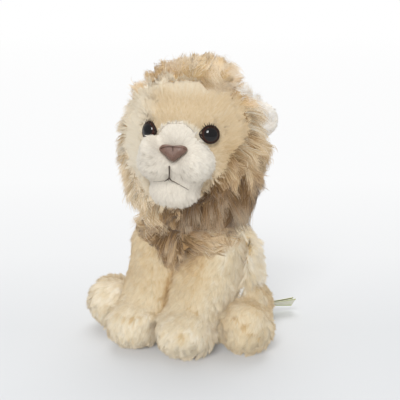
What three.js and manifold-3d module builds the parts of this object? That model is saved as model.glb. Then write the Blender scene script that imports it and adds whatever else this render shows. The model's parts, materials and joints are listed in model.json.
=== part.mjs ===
// A seated plush lion, taken apart as a toy maker would: plush covers, their stuffing, a bag of
// pellets in the seat, moulded eyes locked by washers, a stitched leather nose and a long-pile mane.
// Millimetres. +Z is up, the lion looks along -Y, its own left is +X, and the origin is on the
// surface it sits on, under the middle of the seat.

import * as THREE from "three";
import { mergeVertices } from "three/addons/utils/BufferGeometryUtils.js";
import Module from "manifold-3d";

const wasm = await Module();
wasm.setup();

// Driving dimensions.
const FABRIC = 2.4; // a plush cover with its pile pressed down
const CLEARANCE = 0.3; // between pieces that touch
const FLAT_CUT = 0.5; // how deep a round underside is cut flat where it rests

// The torso's level sections, from the seat up to the rim that the neck stands on.
const TORSO = {
  seat: { height: 0, halfWidth: 38, halfDepth: 32, y: 4 },
  rump: { height: 8, halfWidth: 43, halfDepth: 36, y: 5 },
  hip: { height: 22, halfWidth: 46, halfDepth: 38, y: 6 },
  belly: { height: 42, halfWidth: 45.5, halfDepth: 34, y: 8 },
  chest: { height: 59, halfWidth: 44, halfDepth: 30, y: 6 },
  shoulder: { height: 70, halfWidth: 36, halfDepth: 26, y: 2 },
  rim: { height: 77, halfWidth: 23, halfDepth: 20, y: -3 },
};
const PELLET_BAG = { halfWidth: 17, halfDepth: 19, height: 20 };

const NECK = { radius: 19, standoff: 10.5, length: 39.3, turnRange: 15, nodRange: 5 };

// The head's own frame has its origin at the skull's centre and looks along -Y.
const SKULL = { halfWidth: 37, halfDepth: 32, halfHeight: 39 };
const HEAD_TURN = 12; // degrees towards the lion's left
const FACE_BACK = 6; // the seam between face and hood lies this far behind the skull's centre
const MUZZLE = { halfWidth: 15.5, halfDepth: 18, halfHeight: 14.5, apart: 12, drop: 5.5, out: 27 };
const BRIDGE = { halfWidth: 16, halfDepth: 15.5, halfHeight: 14, rise: 7, out: 23.5, slope: 20 };
const CHIN = { halfWidth: 18.5, halfDepth: 14, halfHeight: 11.5, drop: 24, out: 24.5 };
const NOSE = { halfWidth: 8.6, height: 10, depth: 4, rise: 2.4, out: 39.5, lean: -24 };
const EYE = {
  radius: 6.2,
  apart: SKULL.halfWidth * 0.522,
  rise: 12,
  bulge: 4.2,
  flange: 0.8,
  shankRadius: 2,
  shankLength: 11,
  ribs: 2,
  ribRise: 0.5,
};
const EYE_WASHER = { radius: 6.2, thickness: 1.4, petals: 6, petalDepth: 0.9, setback: 1.5 };

const HOOD = { pile: 7.5, halfHeight: 46 };
const COLLAR = {
  halfWidth: 39.5,
  halfHeight: 41,
  drop: 37.2,
  square: 0.62,
  pile: 9.5,
  depth: 13,
  y: -2,
  chinForward: 16,
  locks: 13,
  lockDepth: 0.14,
};
const CREST = { pile: 11.5, halfSpan: 29, x: 5, rise: 46, y: -9, sweep: 8, locks: 7, lockDepth: 0.12 };
const BIB = { halfWidth: 32, pile: 8, tip: 49, lean: 5, locks: 5, lockDepth: 0.1 };

const EAR = {
  halfWidth: 11.5,
  halfHeight: 11.5,
  thickness: 4.6,
  lining: 8.4,
  liningDepth: 3,
  rootRadius: 3.6,
  apart: 31.5,
  back: 17.5,
  rise: 2.5,
  spread: 42,
  yaw: 20,
  foldRange: 10,
  room: 2, // round it in the mane
};

// A limb's stations run from its root to its paw. side is measured round the body and front through
// the limb, and turn is how far round the body the limb lies, in degrees.
const FRONT_LEG = {
  shoulder: { x: 24, y: -8, z: 59, side: 15.5, front: 15.5 },
  elbow: { x: 21.8, y: -16, z: 45, side: 19.7, front: 13.5 },
  wrist: { x: 19.5, y: -32, z: 26, side: 17.5, front: 13.5 },
  palm: { x: 18.5, y: -42, z: 17, side: 14, front: 12 },
  turn: 38,
  swingRange: 28,
};
const FRONT_PAW = { x: 18.5, y: -43.5, halfWidth: 20, halfLength: 20, halfHeight: 16 };
const HIND_LEG = {
  hip: { x: 36, y: 7, halfWidth: 17, halfHeight: 19 },
  footRadius: 14.5,
  splayRange: 18,
};
const HIND_PAW = { x: 48, y: -20.5, halfWidth: 18.8, halfLength: 17.6, halfHeight: 17.6 };
const LIMB_OPENING = 8; // radius of the hole through which a limb is stuffed

const TAIL = {
  radius: 5.2,
  rootHeight: 14,
  reach: 17,
  curl: 44,
  tuftLength: 27,
  tuftRadius: 8.6,
  locks: 6,
  lockDepth: 0.16,
  swingRange: 45,
};
const LABEL = {
  length: 25,
  width: 11,
  thickness: 0.8,
  fold: 1.6,
  height: 8,
  heading: 48,
  tilt: 34,
  proud: 1.8, // how far from the seam its folding line lies
  flapRange: 10,
};

// Numbers of facets.
const OUTSIDE = { torso: 20, limb: 12, ball: 12 };
const INSIDE = { torso: 12, limb: 8, ball: 8 }; // surfaces that no one sees
const HEAD_SIDES = 16;
const NECK_SIDES = 14;
const ROD_SIDES = 12;

const { degToRad } = THREE.MathUtils;
const vec = (x, y, z) => new THREE.Vector3(x, y, z);

// Solids.

/** A closed three.js geometry as a solid, whichever way its faces point. */
function solid(geometry) {
  const bare = geometry.index ? geometry.toNonIndexed() : geometry.clone();
  bare.deleteAttribute("normal");
  bare.deleteAttribute("uv");
  const merged = mergeVertices(bare, 1e-4);
  const corners = merged.attributes.position.array;
  const make = (triVerts) =>
    new wasm.Manifold(new wasm.Mesh({ numProp: 3, vertProperties: corners, triVerts }));
  const made = make(new Uint32Array(merged.index.array));
  return made.volume() > 0 ? made : make(new Uint32Array(merged.index.array).reverse());
}

const unite = (...solids) => solids.reduce((whole, piece) => whole.add(piece));
const cut = (body, ...tools) => tools.reduce((rest, tool) => rest.subtract(tool), body);

/** A solid turned back into a three.js geometry with one normal to a facet. */
function geometryOf(body) {
  const { numProp, vertProperties, triVerts } = body.getMesh();
  const corners = new Float32Array(triVerts.length * 3);
  triVerts.forEach((v, i) => {
    corners.set(vertProperties.subarray(v * numProp, v * numProp + 3), i * 3);
  });
  const geometry = new THREE.BufferGeometry();
  geometry.setAttribute("position", new THREE.BufferAttribute(corners, 3));
  geometry.computeVertexNormals();
  return geometry;
}

// Forms.

/** A closed skin over a row of rings with equally many points, each end closed by a fan. */
function loft(rings) {
  const sides = rings[0].length;
  const centre = (ring) => ring.reduce((sum, p) => sum.add(p), vec(0, 0, 0)).divideScalar(sides);
  const points = [...rings.flat(), centre(rings[0]), centre(rings.at(-1))];
  const first = rings.length * sides;
  const last = (rings.length - 1) * sides;
  const index = [];
  for (let k = 0; k < sides; k += 1) {
    const next = (k + 1) % sides;
    for (let row = 0; row < last; row += sides) {
      index.push(row + k, row + next, row + sides + next);
      index.push(row + k, row + sides + next, row + sides + k);
    }
    index.push(first, next, k);
    index.push(first + 1, last + k, last + next);
  }
  return new THREE.BufferGeometry().setFromPoints(points).setIndex(index);
}

/** A skin over rings that follow each other round a closed path. */
function hoop(rings) {
  const sides = rings[0].length;
  const index = [];
  rings.forEach((_, r) => {
    const row = r * sides;
    const nextRow = ((r + 1) % rings.length) * sides;
    for (let k = 0; k < sides; k += 1) {
      const next = (k + 1) % sides;
      index.push(row + k, row + next, nextRow + next);
      index.push(row + k, nextRow + next, nextRow + k);
    }
  });
  return new THREE.BufferGeometry().setFromPoints(rings.flat()).setIndex(index);
}

/** An elliptical ring about centre, with half-sizes a and b along the unit axes u and v. */
function ring(centre, u, v, a, b, sides, swell = () => 1) {
  return Array.from({ length: sides }, (_, k) => {
    const angle = (2 * Math.PI * k) / sides;
    const size = swell(angle);
    return centre
      .clone()
      .addScaledVector(u, a * size * Math.cos(angle))
      .addScaledVector(v, b * size * Math.sin(angle));
  });
}

/** An ellipsoid with the given half-sizes, turned about X by lean degrees and set at centre. */
function ball(halfWidth, halfDepth, halfHeight, centre, sides = OUTSIDE.ball, lean = 0) {
  return new THREE.SphereGeometry(1, sides, Math.round(sides * 0.6))
    .rotateX(Math.PI / 2)
    .scale(halfWidth, halfDepth, halfHeight)
    .rotateX(degToRad(lean))
    .translate(centre.x, centre.y, centre.z);
}

/** A cylinder from one point to another. */
function rod(from, to, radius, sides = ROD_SIDES) {
  const along = to.clone().sub(from);
  const turn = new THREE.Quaternion().setFromUnitVectors(vec(0, 1, 0), along.clone().normalize());
  return new THREE.CylinderGeometry(radius, radius, along.length(), sides)
    .applyQuaternion(turn)
    .translate(...from.clone().add(to).divideScalar(2));
}

const FAR = 400; // larger than the whole toy

/** Everything below a height. */
const below = (height) => solid(new THREE.BoxGeometry(FAR, FAR, FAR).translate(0, 0, height - FAR / 2));

/** Everything behind a distance along Y, and everything in front of one. */
const behind = (y) => solid(new THREE.BoxGeometry(FAR, FAR, FAR).translate(0, y + FAR / 2, 0));
const before = (y) => behind(-y).mirror([0, 1, 0]);

/** Everything to the lion's right of a distance along X. */
const rightOf = (x) => solid(new THREE.BoxGeometry(FAR, FAR, FAR).translate(x - FAR / 2, 0, 0));

/**
 * A limb: rings square to a smooth path through the stations, with a domed root. grow swells it all
 * over, and a negative grow shrinks it.
 */
function limb(stations, turn, grow, sides = OUTSIDE.limb) {
  const path = new THREE.CatmullRomCurve3(stations.map((s) => vec(s.x, s.y, s.z)));
  const sizes = new THREE.CatmullRomCurve3(stations.map((s) => vec(s.side, s.front, 0)));
  const round = vec(Math.cos(degToRad(turn)), Math.sin(degToRad(turn)), 0);
  const steps = stations.length + 1;
  const domeSteps = 3;
  const rings = [];
  const addRing = (share, shift = 0, shrink = 1) => {
    const along = path.getTangent(share);
    const across = round.clone().addScaledVector(along, -round.dot(along)).normalize();
    const through = along.clone().cross(across);
    const size = sizes.getPoint(share);
    const dome = (Math.min(size.x, size.y) + grow) * shift;
    const centre = path.getPoint(share).addScaledVector(along, dome);
    rings.push(ring(centre, across, through, (size.x + grow) * shrink, (size.y + grow) * shrink, sides));
  };
  for (let k = 1; k <= domeSteps; k += 1) {
    const angle = ((Math.PI / 2) * k) / (domeSteps + 0.6);
    addRing(0, -Math.cos(angle), Math.sin(angle));
  }
  for (let k = 0; k <= steps; k += 1) addRing(k / steps);
  return loft(rings);
}

/** The torso's form, shrunk by inset. Its top runs on past the rim by extra. */
function torsoForm(inset, extra = 0) {
  const sides = inset > 0 ? INSIDE.torso : OUTSIDE.torso;
  const stations = Object.values(TORSO);
  const widths = new THREE.CatmullRomCurve3(
    stations.map((s) => vec(s.halfWidth - inset, s.halfDepth - inset, 0)),
  );
  const places = new THREE.CatmullRomCurve3(stations.map((s) => vec(0, s.y, s.height)));
  const steps = Math.round(1.5 * (stations.length - 1));
  const rings = [];
  for (let k = 0; k <= steps; k += 1) {
    const size = widths.getPoint(k / steps);
    rings.push(ring(places.getPoint(k / steps), vec(1, 0, 0), vec(0, 1, 0), size.x, size.y, sides));
  }
  if (extra > 0) rings.push(rings.at(-1).map((p) => p.clone().setZ(p.z + extra)));
  return loft(rings);
}

/** The torso's half-width, half-depth and middle at a height, read from its stations. */
function torsoAt(height) {
  const stations = Object.values(TORSO);
  const k = Math.max(
    1,
    stations.findIndex((s) => s.height >= height),
  );
  const [low, high] = [stations[k - 1], stations[k]];
  const share = (height - low.height) / (high.height - low.height);
  const mix = (name) => THREE.MathUtils.lerp(low[name], high[name], share);
  return { halfWidth: mix("halfWidth"), halfDepth: mix("halfDepth"), y: mix("y") };
}

/** Facets of a limb's form: its own skin is fine, the hollows and fillings under it are plain. */
const facetsOf = (grow) => (Math.abs(grow) > FABRIC / 2 ? INSIDE : OUTSIDE);

/** A paw as a ball on the ground. */
const pawForm = (paw, grow) =>
  solid(
    ball(
      paw.halfWidth + grow,
      paw.halfLength + grow,
      paw.halfHeight + grow,
      vec(paw.x, paw.y, paw.halfHeight - FLAT_CUT),
      facetsOf(grow).ball,
    ),
  );

const { shoulder, elbow, wrist, palm, turn: legTurn } = FRONT_LEG;
const armForm = (grow) =>
  solid(limb([shoulder, elbow, wrist, palm], legTurn, grow, facetsOf(grow).limb));

/** The left front leg. Where the two front paws press together it is flat. */
const frontLegForm = (grow) =>
  cut(unite(armForm(grow), pawForm(FRONT_PAW, grow)), rightOf(CLEARANCE / 2 - grow));

const hipCentre = vec(HIND_LEG.hip.x, HIND_LEG.hip.y, HIND_LEG.hip.halfHeight - FLAT_CUT);

/** The left hind leg: a thigh as round as a ball seen from above, a foot and a paw. */
function hindLegForm(grow) {
  const { halfWidth, halfHeight } = HIND_LEG.hip;
  const facets = facetsOf(grow);
  const low = HIND_LEG.footRadius - FLAT_CUT;
  const heel = hipCentre.clone().setZ(low);
  const instep = vec(HIND_PAW.x, HIND_PAW.y, low);
  const foot = rod(heel, instep, HIND_LEG.footRadius + grow, facets.limb);
  const turning = grow > 0 ? grow + CLEARANCE : grow;
  const thigh = ball(halfWidth + turning, halfWidth + turning, halfHeight + grow, hipCentre, facets.ball);
  return unite(solid(thigh), solid(foot), pawForm(HIND_PAW, grow));
}

/** A geometry or solid's matrix for a turn about an axis through a point. */
function turnAbout(point, axis, degrees) {
  const there = new THREE.Matrix4().makeTranslation(point);
  const back = new THREE.Matrix4().makeTranslation(point.clone().negate());
  return there.multiply(new THREE.Matrix4().makeRotationAxis(axis, degToRad(degrees))).multiply(back);
}

const moved = (body, matrix) => body.transform(matrix.elements);
const mirrored = (body) => body.mirror([1, 0, 0]);

/** The room that a solid takes as it turns about a hinge from one angle to another. */
function sweep(body, point, axis, from, to, steps = 1) {
  const places = Array.from({ length: steps + 1 }, (_, k) => from + ((to - from) * k) / steps);
  return unite(...places.map((angle) => moved(body, turnAbout(point, axis, angle))));
}

const shoulderPivot = vec(FRONT_LEG.shoulder.x, FRONT_LEG.shoulder.y, FRONT_LEG.shoulder.z);
const LIFT_AXIS = vec(-1, 0, 0);
const UP = vec(0, 0, 1);

/** Room for the arm when it is lifted, wide of it by room. */
const liftRoom = (room) =>
  moved(
    solid(limb([shoulder, elbow, wrist], legTurn, room, INSIDE.limb)),
    turnAbout(shoulderPivot, LIFT_AXIS, FRONT_LEG.swingRange),
  );

/** Room for all four limbs in the torso's sides. */
function limbRoom(room) {
  const front = unite(armForm(room + 2 * CLEARANCE), pawForm(FRONT_PAW, room), liftRoom(room + FABRIC));
  const hind = hindLegForm(room);
  return unite(front, hind, mirrored(front), mirrored(hind));
}

// The tail leaves the back on the middle line and the label beside it.
const tailRoot = vec(
  0,
  torsoAt(TAIL.rootHeight).y + torsoAt(TAIL.rootHeight).halfDepth + TAIL.radius - 2,
  TAIL.rootHeight,
);
const tailRoom = (room) => solid(ball(TAIL.radius + room, TAIL.radius + room, TAIL.radius + room, tailRoot, 12));

// Head pieces, in the head's own frame.

const skull = (grow, sides = HEAD_SIDES) =>
  solid(
    ball(SKULL.halfWidth + grow, SKULL.halfDepth + grow, SKULL.halfHeight + grow, vec(0, 0, 0), sides),
  );

// The head nods and turns about one point, the centre of the neck's round top.
const neckPivot = vec(0, TORSO.rim.y, TORSO.rim.height + NECK.standoff);
const neckBall = (grow, centre) =>
  solid(ball(NECK.radius + grow, NECK.radius + grow, NECK.radius + grow, centre, NECK_SIDES));
const neckSocket = neckBall(3 * CLEARANCE, vec(0, 0, -NECK.length));

function muzzleForm(grow) {
  const lobe = (side) =>
    solid(
      ball(
        MUZZLE.halfWidth + grow,
        MUZZLE.halfDepth + grow,
        MUZZLE.halfHeight + grow,
        vec(side * MUZZLE.apart, -MUZZLE.out, -MUZZLE.drop),
      ),
    );
  return unite(lobe(-1), lobe(1));
}

const bridgeForm = (grow) =>
  solid(
    ball(
      BRIDGE.halfWidth + grow,
      BRIDGE.halfDepth + grow,
      BRIDGE.halfHeight + grow,
      vec(0, -BRIDGE.out, BRIDGE.rise),
      OUTSIDE.ball,
      BRIDGE.slope,
    ),
  );

const chinForm = (grow) =>
  solid(
    ball(
      CHIN.halfWidth + grow,
      CHIN.halfDepth + grow,
      CHIN.halfHeight + grow,
      vec(0, -CHIN.out, -CHIN.drop),
    ),
  );

/** The nose: a padded triangle with rounded corners, wide at the top and domed to the front. */
function noseForm(grow) {
  const w = NOSE.halfWidth + grow;
  const h = NOSE.height + 2 * grow;
  const outline = new THREE.Shape();
  outline.moveTo(0, h * 0.46);
  outline.bezierCurveTo(w * 0.5, h * 0.52, w, h * 0.56, w, h * 0.36);
  outline.bezierCurveTo(w, h * 0.05, w * 0.34, -h * 0.12, w * 0.24, -h * 0.4);
  outline.bezierCurveTo(w * 0.14, -h * 0.54, -w * 0.14, -h * 0.54, -w * 0.24, -h * 0.4);
  outline.bezierCurveTo(-w * 0.34, -h * 0.12, -w, h * 0.05, -w, h * 0.36);
  outline.bezierCurveTo(-w, h * 0.56, -w * 0.5, h * 0.52, 0, h * 0.46);
  const corners = outline.getSpacedPoints(22).slice(0, -1);
  const layers = Array.from({ length: 4 }, (_, k) => {
    const angle = (Math.PI / 2) * (k / 4);
    return { share: Math.cos(angle) ** 0.6, out: (NOSE.depth + grow) * Math.sin(angle) };
  });
  const foot = { share: 1, out: -NOSE.depth };
  const rings = [foot, ...layers].map(({ share, out }) =>
    corners.map((p) => vec(p.x * share, -out, p.y * share)),
  );
  return solid(loft(rings).rotateX(degToRad(NOSE.lean)).translate(0, -NOSE.out, NOSE.rise));
}

/** Where an eye stands on the skull, and the way it looks. */
function eyePlace(side) {
  const x = side * EYE.apart;
  const z = EYE.rise;
  const share = 1 - (x / SKULL.halfWidth) ** 2 - (z / SKULL.halfHeight) ** 2;
  const y = -SKULL.halfDepth * Math.sqrt(share);
  const out = vec(x / SKULL.halfWidth ** 2, y / SKULL.halfDepth ** 2, z / SKULL.halfHeight ** 2);
  return { point: vec(x, y, z), out: out.normalize() };
}

/** A turned profile, given as [radius, height] pairs, stood on a point along a direction. */
function turned(profile, { point, out }, sides = ROD_SIDES) {
  const spin = new THREE.LatheGeometry(
    profile.map(([r, h]) => new THREE.Vector2(r, h)),
    sides,
  );
  const turn = new THREE.Quaternion().setFromUnitVectors(vec(0, 1, 0), out);
  return spin.applyQuaternion(turn).translate(...point);
}

/** A moulded eye: a dome on a flange, and a shank with ratchet ribs for its washer. */
function eyeForm(place) {
  const dome = Array.from({ length: 5 }, (_, k) => {
    const angle = (Math.PI / 2) * (k / 4);
    const r = EYE.radius * Math.cos(angle);
    return [k === 4 ? 0 : r, EYE.flange + CLEARANCE + EYE.bulge * Math.sin(angle)];
  });
  const pitch = (EYE.shankLength * 0.6) / EYE.ribs;
  const ribs = Array.from({ length: EYE.ribs }, (_, k) => {
    const foot = -EYE.shankLength + k * pitch;
    return [
      [EYE.shankRadius - EYE.ribRise, foot],
      [EYE.shankRadius, foot + pitch * 0.7],
      [EYE.shankRadius - EYE.ribRise, foot + pitch * 0.75],
    ];
  }).flat();
  const profile = [[0, -EYE.shankLength - 1], ...ribs, [EYE.shankRadius - EYE.ribRise, CLEARANCE]];
  return turned([...profile, [EYE.radius, CLEARANCE], ...dome], place);
}

/** The washer that locks an eye behind the fabric: a petalled disc with a bore for the shank. */
function eyeWasherForm({ point, out }) {
  const disc = new THREE.Shape();
  const count = EYE_WASHER.petals * 4;
  for (let k = 0; k < count; k += 1) {
    const angle = (2 * Math.PI * k) / count;
    const r = EYE_WASHER.radius - (k % 4 === 0 ? EYE_WASHER.petalDepth : 0);
    disc[k ? "lineTo" : "moveTo"](r * Math.cos(angle), r * Math.sin(angle));
  }
  disc.holes.push(new THREE.Path().absarc(0, 0, EYE.shankRadius + CLEARANCE, 0, 2 * Math.PI, true));
  const turn = new THREE.Quaternion().setFromUnitVectors(UP, out);
  const options = { depth: EYE_WASHER.thickness, bevelEnabled: false, curveSegments: 8 };
  return new THREE.ExtrudeGeometry(disc, options)
    .translate(0, 0, -FABRIC - EYE_WASHER.setback - EYE_WASHER.thickness)
    .applyQuaternion(turn)
    .translate(...point);
}

const eyeHole = ({ point, out }, radius, depth) =>
  solid(rod(point.clone().addScaledVector(out, 2 * EYE.radius), point.clone().addScaledVector(out, -depth), radius, 14));

/** The mane's ring round the face. It is squarer below, and swings forwards under the chin. */
function collarForm(grow) {
  const steps = 2 * COLLAR.locks;
  const rings = Array.from({ length: steps }, (_, k) => {
    const angle = (2 * Math.PI * k) / steps;
    const [c, s] = [Math.cos(angle), Math.sin(angle)];
    const low = Math.max(0, -s);
    const square = THREE.MathUtils.lerp(1, COLLAR.square, Math.min(1, 3 * low));
    const bend = (x) => Math.sign(x) * Math.abs(x) ** square;
    const centre = vec(
      COLLAR.halfWidth * bend(c),
      COLLAR.y - COLLAR.chinForward * low ** 2,
      (s > 0 ? COLLAR.halfHeight : COLLAR.drop) * bend(s),
    );
    const lock = COLLAR.lockDepth * (k % 2 ? -1 : 1);
    const outward = (round) => 1 + lock * Math.max(0, Math.cos(round));
    return ring(centre, vec(c, 0, s), vec(0, -1, 0), COLLAR.pile + grow, COLLAR.depth + grow, 7, outward);
  });
  return solid(hoop(rings));
}

/** The upper edge of the mane, brushed up and over to the lion's left. */
function crestForm(grow) {
  const plain = grow > 0; // the hollow for it has no locks
  const steps = plain ? 7 : 14;
  const rings = Array.from({ length: steps + 1 }, (_, k) => {
    const share = (2 * k) / steps - 1;
    const bulk = Math.sqrt(1 - (share * 0.97) ** 2);
    const lock = 1 + CREST.lockDepth * (plain ? 1 : Math.cos(CREST.locks * Math.PI * share));
    const centre = vec(
      CREST.halfSpan * share + CREST.x,
      CREST.y,
      CREST.rise - CREST.halfSpan * 0.3 * share ** 2 + CREST.sweep * 0.5 * share,
    );
    const reach = CREST.pile * bulk * (1 + 0.2 * share) + grow;
    const outward = (angle) => (Math.cos(angle) > 0 ? lock : 1);
    const up = vec(0.2 * share, -0.15, 1).normalize();
    return ring(centre, up, vec(0, 1, 0), reach, reach * 1.15, plain ? 8 : 10, outward);
  });
  return solid(loft(rings));
}

const hoodForm = (grow) => {
  const pile = HOOD.pile + grow;
  return solid(
    ball(SKULL.halfWidth + pile, SKULL.halfDepth + pile, HOOD.halfHeight + grow, vec(0, 1, 0), HEAD_SIDES),
  );
};

// The ear's own frame has its hinge along X through the origin, its tip up and its face to -Y.
const earCentre = vec(0, 0, EAR.halfHeight + EAR.rootRadius * 0.4);

/** The ear's plush back with the hollow that its lining is sewn into, on a rolled root. */
function earCover() {
  const shell = ball(EAR.halfWidth, EAR.thickness, EAR.halfHeight, earCentre, 12);
  const half = EAR.halfWidth * 0.8;
  const root = rod(vec(-half, 0, 0), vec(half, 0, 0), EAR.rootRadius, 10);
  return cut(unite(solid(shell), solid(root)), earLining(CLEARANCE));
}

/** The pale lining: a dish that lies in the front of the ear. grow gives the hollow for it. */
function earLining(grow = 0) {
  const { lining, liningDepth, thickness } = EAR;
  const front = vec(0, liningDepth / 2 - thickness, earCentre.z + 0.5);
  const dish = solid(ball(lining + grow, liningDepth + grow, lining + grow, front, 12));
  if (grow > 0) return dish;
  const hollow = front.clone().setY(front.y - 2 * liningDepth);
  return cut(dish, solid(ball(lining * 1.5, liningDepth * 2, lining * 1.5, hollow, 12)));
}

/** Where an ear's hinge lies on the skull, in the head's frame. */
function earPlacement(side) {
  const group = new THREE.Group();
  group.position.set(side * EAR.apart, EAR.back, EAR.rise);
  group.rotation.set(0, degToRad(side * EAR.spread), degToRad(side * EAR.yaw), "ZYX");
  return group;
}

/** A piece of the toy as a named mesh. */
function piece(name, body, material) {
  const mesh = new THREE.Mesh(geometryOf(body), material);
  mesh.name = name;
  return mesh;
}

const fabric = (colour) => new THREE.MeshStandardMaterial({ color: colour, roughness: 0.95, metalness: 0 });
const MATERIAL = {
  tanPlush: fabric("#d9c49c"),
  creamPlush: fabric("#e8dfd0"),
  manePlush: fabric("#b28c5e"),
  stuffing: fabric("#f4f4f1"),
  bagCloth: fabric("#e6e3da"),
  noseLeather: new THREE.MeshStandardMaterial({ color: "#7d5d50", roughness: 0.55, metalness: 0 }),
  eyePlastic: new THREE.MeshStandardMaterial({ color: "#1d1412", roughness: 0.08, metalness: 0 }),
  washerPlastic: new THREE.MeshStandardMaterial({ color: "#f1efe8", roughness: 0.5, metalness: 0 }),
  ribbon: fabric("#efe9d6"),
};

// The head.

const headGroup = new THREE.Group();
headGroup.position.set(neckPivot.x, neckPivot.y, neckPivot.z + NECK.length);
headGroup.rotation.z = degToRad(HEAD_TURN);
headGroup.updateMatrix();

const sides = { left: 1, right: -1 };
const eyes = Object.fromEntries(Object.entries(sides).map(([name, side]) => [name, eyePlace(side)]));
const eyePlaces = Object.values(eyes);

const hollow = skull(-FABRIC);
const eyeHoles = eyePlaces.map((place) => eyeHole(place, EYE.shankRadius + CLEARANCE, FABRIC * 3));
const eyeSeats = eyePlaces.map((place) => eyeHole(place, EYE.radius + CLEARANCE, -CLEARANCE / 2));
const washerPockets = eyePlaces.map((place) =>
  eyeHole(
    place,
    EYE_WASHER.radius + 2 * CLEARANCE,
    FABRIC + EYE_WASHER.setback + EYE_WASHER.thickness + CLEARANCE,
  ),
);
const shankPockets = eyePlaces.map((place) =>
  eyeHole(place, EYE.shankRadius + CLEARANCE, EYE.shankLength + 2),
);
const muzzlePad = cut(muzzleForm(0), skull(CLEARANCE), ...eyeSeats);
const bridgePad = cut(bridgeForm(0), skull(CLEARANCE), muzzleForm(CLEARANCE), ...eyeSeats);
const chinPad = cut(chinForm(0), skull(CLEARANCE), muzzleForm(CLEARANCE), neckSocket);
const nosePad = cut(noseForm(0), muzzleForm(CLEARANCE), bridgeForm(CLEARANCE));
const pads = [muzzleForm(CLEARANCE), bridgeForm(CLEARANCE), chinForm(CLEARANCE)];

const earGroups = Object.fromEntries(
  Object.entries(sides).map(([name, side]) => [name, earPlacement(side)]),
);
const earRoom = Object.values(earGroups).map((group) => {
  group.updateMatrix();
  const fold = 2 * EAR.halfHeight * Math.sin(degToRad(EAR.foldRange));
  const { halfWidth, halfHeight, thickness, room } = EAR;
  const shell = ball(halfWidth + room, thickness + fold + CLEARANCE, halfHeight + room, earCentre);
  const root = rod(vec(-halfWidth, 0, 0), vec(halfWidth, 0, 0), EAR.rootRadius + 2 * CLEARANCE);
  return moved(unite(solid(shell), solid(root)), group.matrix);
});

const hoodRoom = cut(hoodForm(CLEARANCE), before(FACE_BACK - CLEARANCE / 2));
const headFront = cut(skull(0), hollow, behind(FACE_BACK - CLEARANCE / 2), neckSocket, ...eyeHoles, ...eyeSeats);
const hoodBack = cut(hoodForm(0), hollow, before(FACE_BACK + CLEARANCE / 2), neckSocket, ...earRoom);
const headFill = cut(
  skull(-FABRIC - CLEARANCE),
  neckSocket,
  ...washerPockets,
  ...shankPockets,
  ...earRoom,
);
const crest = cut(crestForm(0), skull(CLEARANCE), hoodRoom);
const collar = cut(
  collarForm(0),
  skull(CLEARANCE),
  hoodRoom,
  crestForm(4 * CLEARANCE),
  neckSocket,
  ...pads,
  ...earRoom,
);

headGroup.add(
  piece("face_cover", headFront, MATERIAL.tanPlush),
  piece("head_stuffing", headFill, MATERIAL.stuffing),
  piece("muzzle_cover", muzzlePad, MATERIAL.creamPlush),
  piece("nose_bridge", bridgePad, MATERIAL.creamPlush),
  piece("chin_cover", chinPad, MATERIAL.creamPlush),
  piece("nose", nosePad, MATERIAL.noseLeather),
  piece("mane_hood", hoodBack, MATERIAL.manePlush),
  piece("mane_collar", collar, MATERIAL.manePlush),
  piece("mane_crest", crest, MATERIAL.manePlush),
);
for (const [name, place] of Object.entries(eyes)) {
  headGroup.add(
    piece(`eye_${name}`, solid(eyeForm(place)), MATERIAL.eyePlastic),
    piece(`eye_washer_${name}`, solid(eyeWasherForm(place)), MATERIAL.washerPlastic),
  );
  earGroups[name].add(
    piece(`ear_cover_${name}`, earCover(), MATERIAL.tanPlush),
    piece(`ear_lining_${name}`, earLining(), MATERIAL.creamPlush),
  );
  headGroup.add(earGroups[name]);
}

// The neck: a stuffed ball cut flat where it is sewn to the torso's rim.

const neckForm = (inset) => cut(neckBall(-inset, neckPivot), below(TORSO.rim.height + CLEARANCE));
const neckMouth = solid(
  rod(neckPivot, neckPivot.clone().setZ(TORSO.rim.height), NECK.radius * 0.7 - FABRIC),
);
const neckGroup = new THREE.Group();
neckGroup.add(
  piece("neck_cover", cut(neckForm(0), neckForm(FABRIC), neckMouth), MATERIAL.manePlush),
  piece("neck_stuffing", neckForm(FABRIC + CLEARANCE), MATERIAL.stuffing),
);

// The torso, its filling and the mane's bib.

const bagTop = FABRIC + CLEARANCE + PELLET_BAG.height;
const bagForm = (grow) =>
  cut(
    solid(
      ball(
        PELLET_BAG.halfWidth + grow,
        PELLET_BAG.halfDepth + grow,
        PELLET_BAG.height + grow,
        vec(0, TORSO.seat.y + 6, FABRIC + CLEARANCE),
      ),
    ),
    below(grow > 0 ? 0 : FABRIC + CLEARANCE),
  );
const torsoOuter = cut(solid(torsoForm(0)), below(0), limbRoom(CLEARANCE), tailRoom(CLEARANCE));
const torsoHollow = cut(
  solid(torsoForm(FABRIC, FABRIC)),
  below(FABRIC),
  limbRoom(CLEARANCE + FABRIC),
  tailRoom(CLEARANCE + FABRIC),
);
const torsoFill = cut(
  solid(torsoForm(FABRIC + CLEARANCE)),
  below(FABRIC + CLEARANCE),
  limbRoom(2 * CLEARANCE + FABRIC),
  tailRoom(2 * CLEARANCE + FABRIC),
  bagForm(CLEARANCE),
);

/** The bib: the mane's point on the chest, from under the collar down between the front legs. */
function bibForm() {
  const steps = 10;
  const rings = Array.from({ length: steps + 1 }, (_, k) => {
    const share = k / steps;
    const height = THREE.MathUtils.lerp(TORSO.rim.height, BIB.tip, share);
    const chest = torsoAt(height);
    const width = BIB.halfWidth * Math.max(0.06, (1 - share) ** 0.75);
    const lock = (angle) => 1 + BIB.lockDepth * Math.cos(BIB.locks * angle + k);
    const centre = vec(BIB.lean, chest.y - chest.halfDepth + 1, height);
    return ring(centre, vec(1, 0, 0), vec(0, 1, 0), width, BIB.pile, 16, lock);
  });
  return solid(loft(rings));
}

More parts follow.
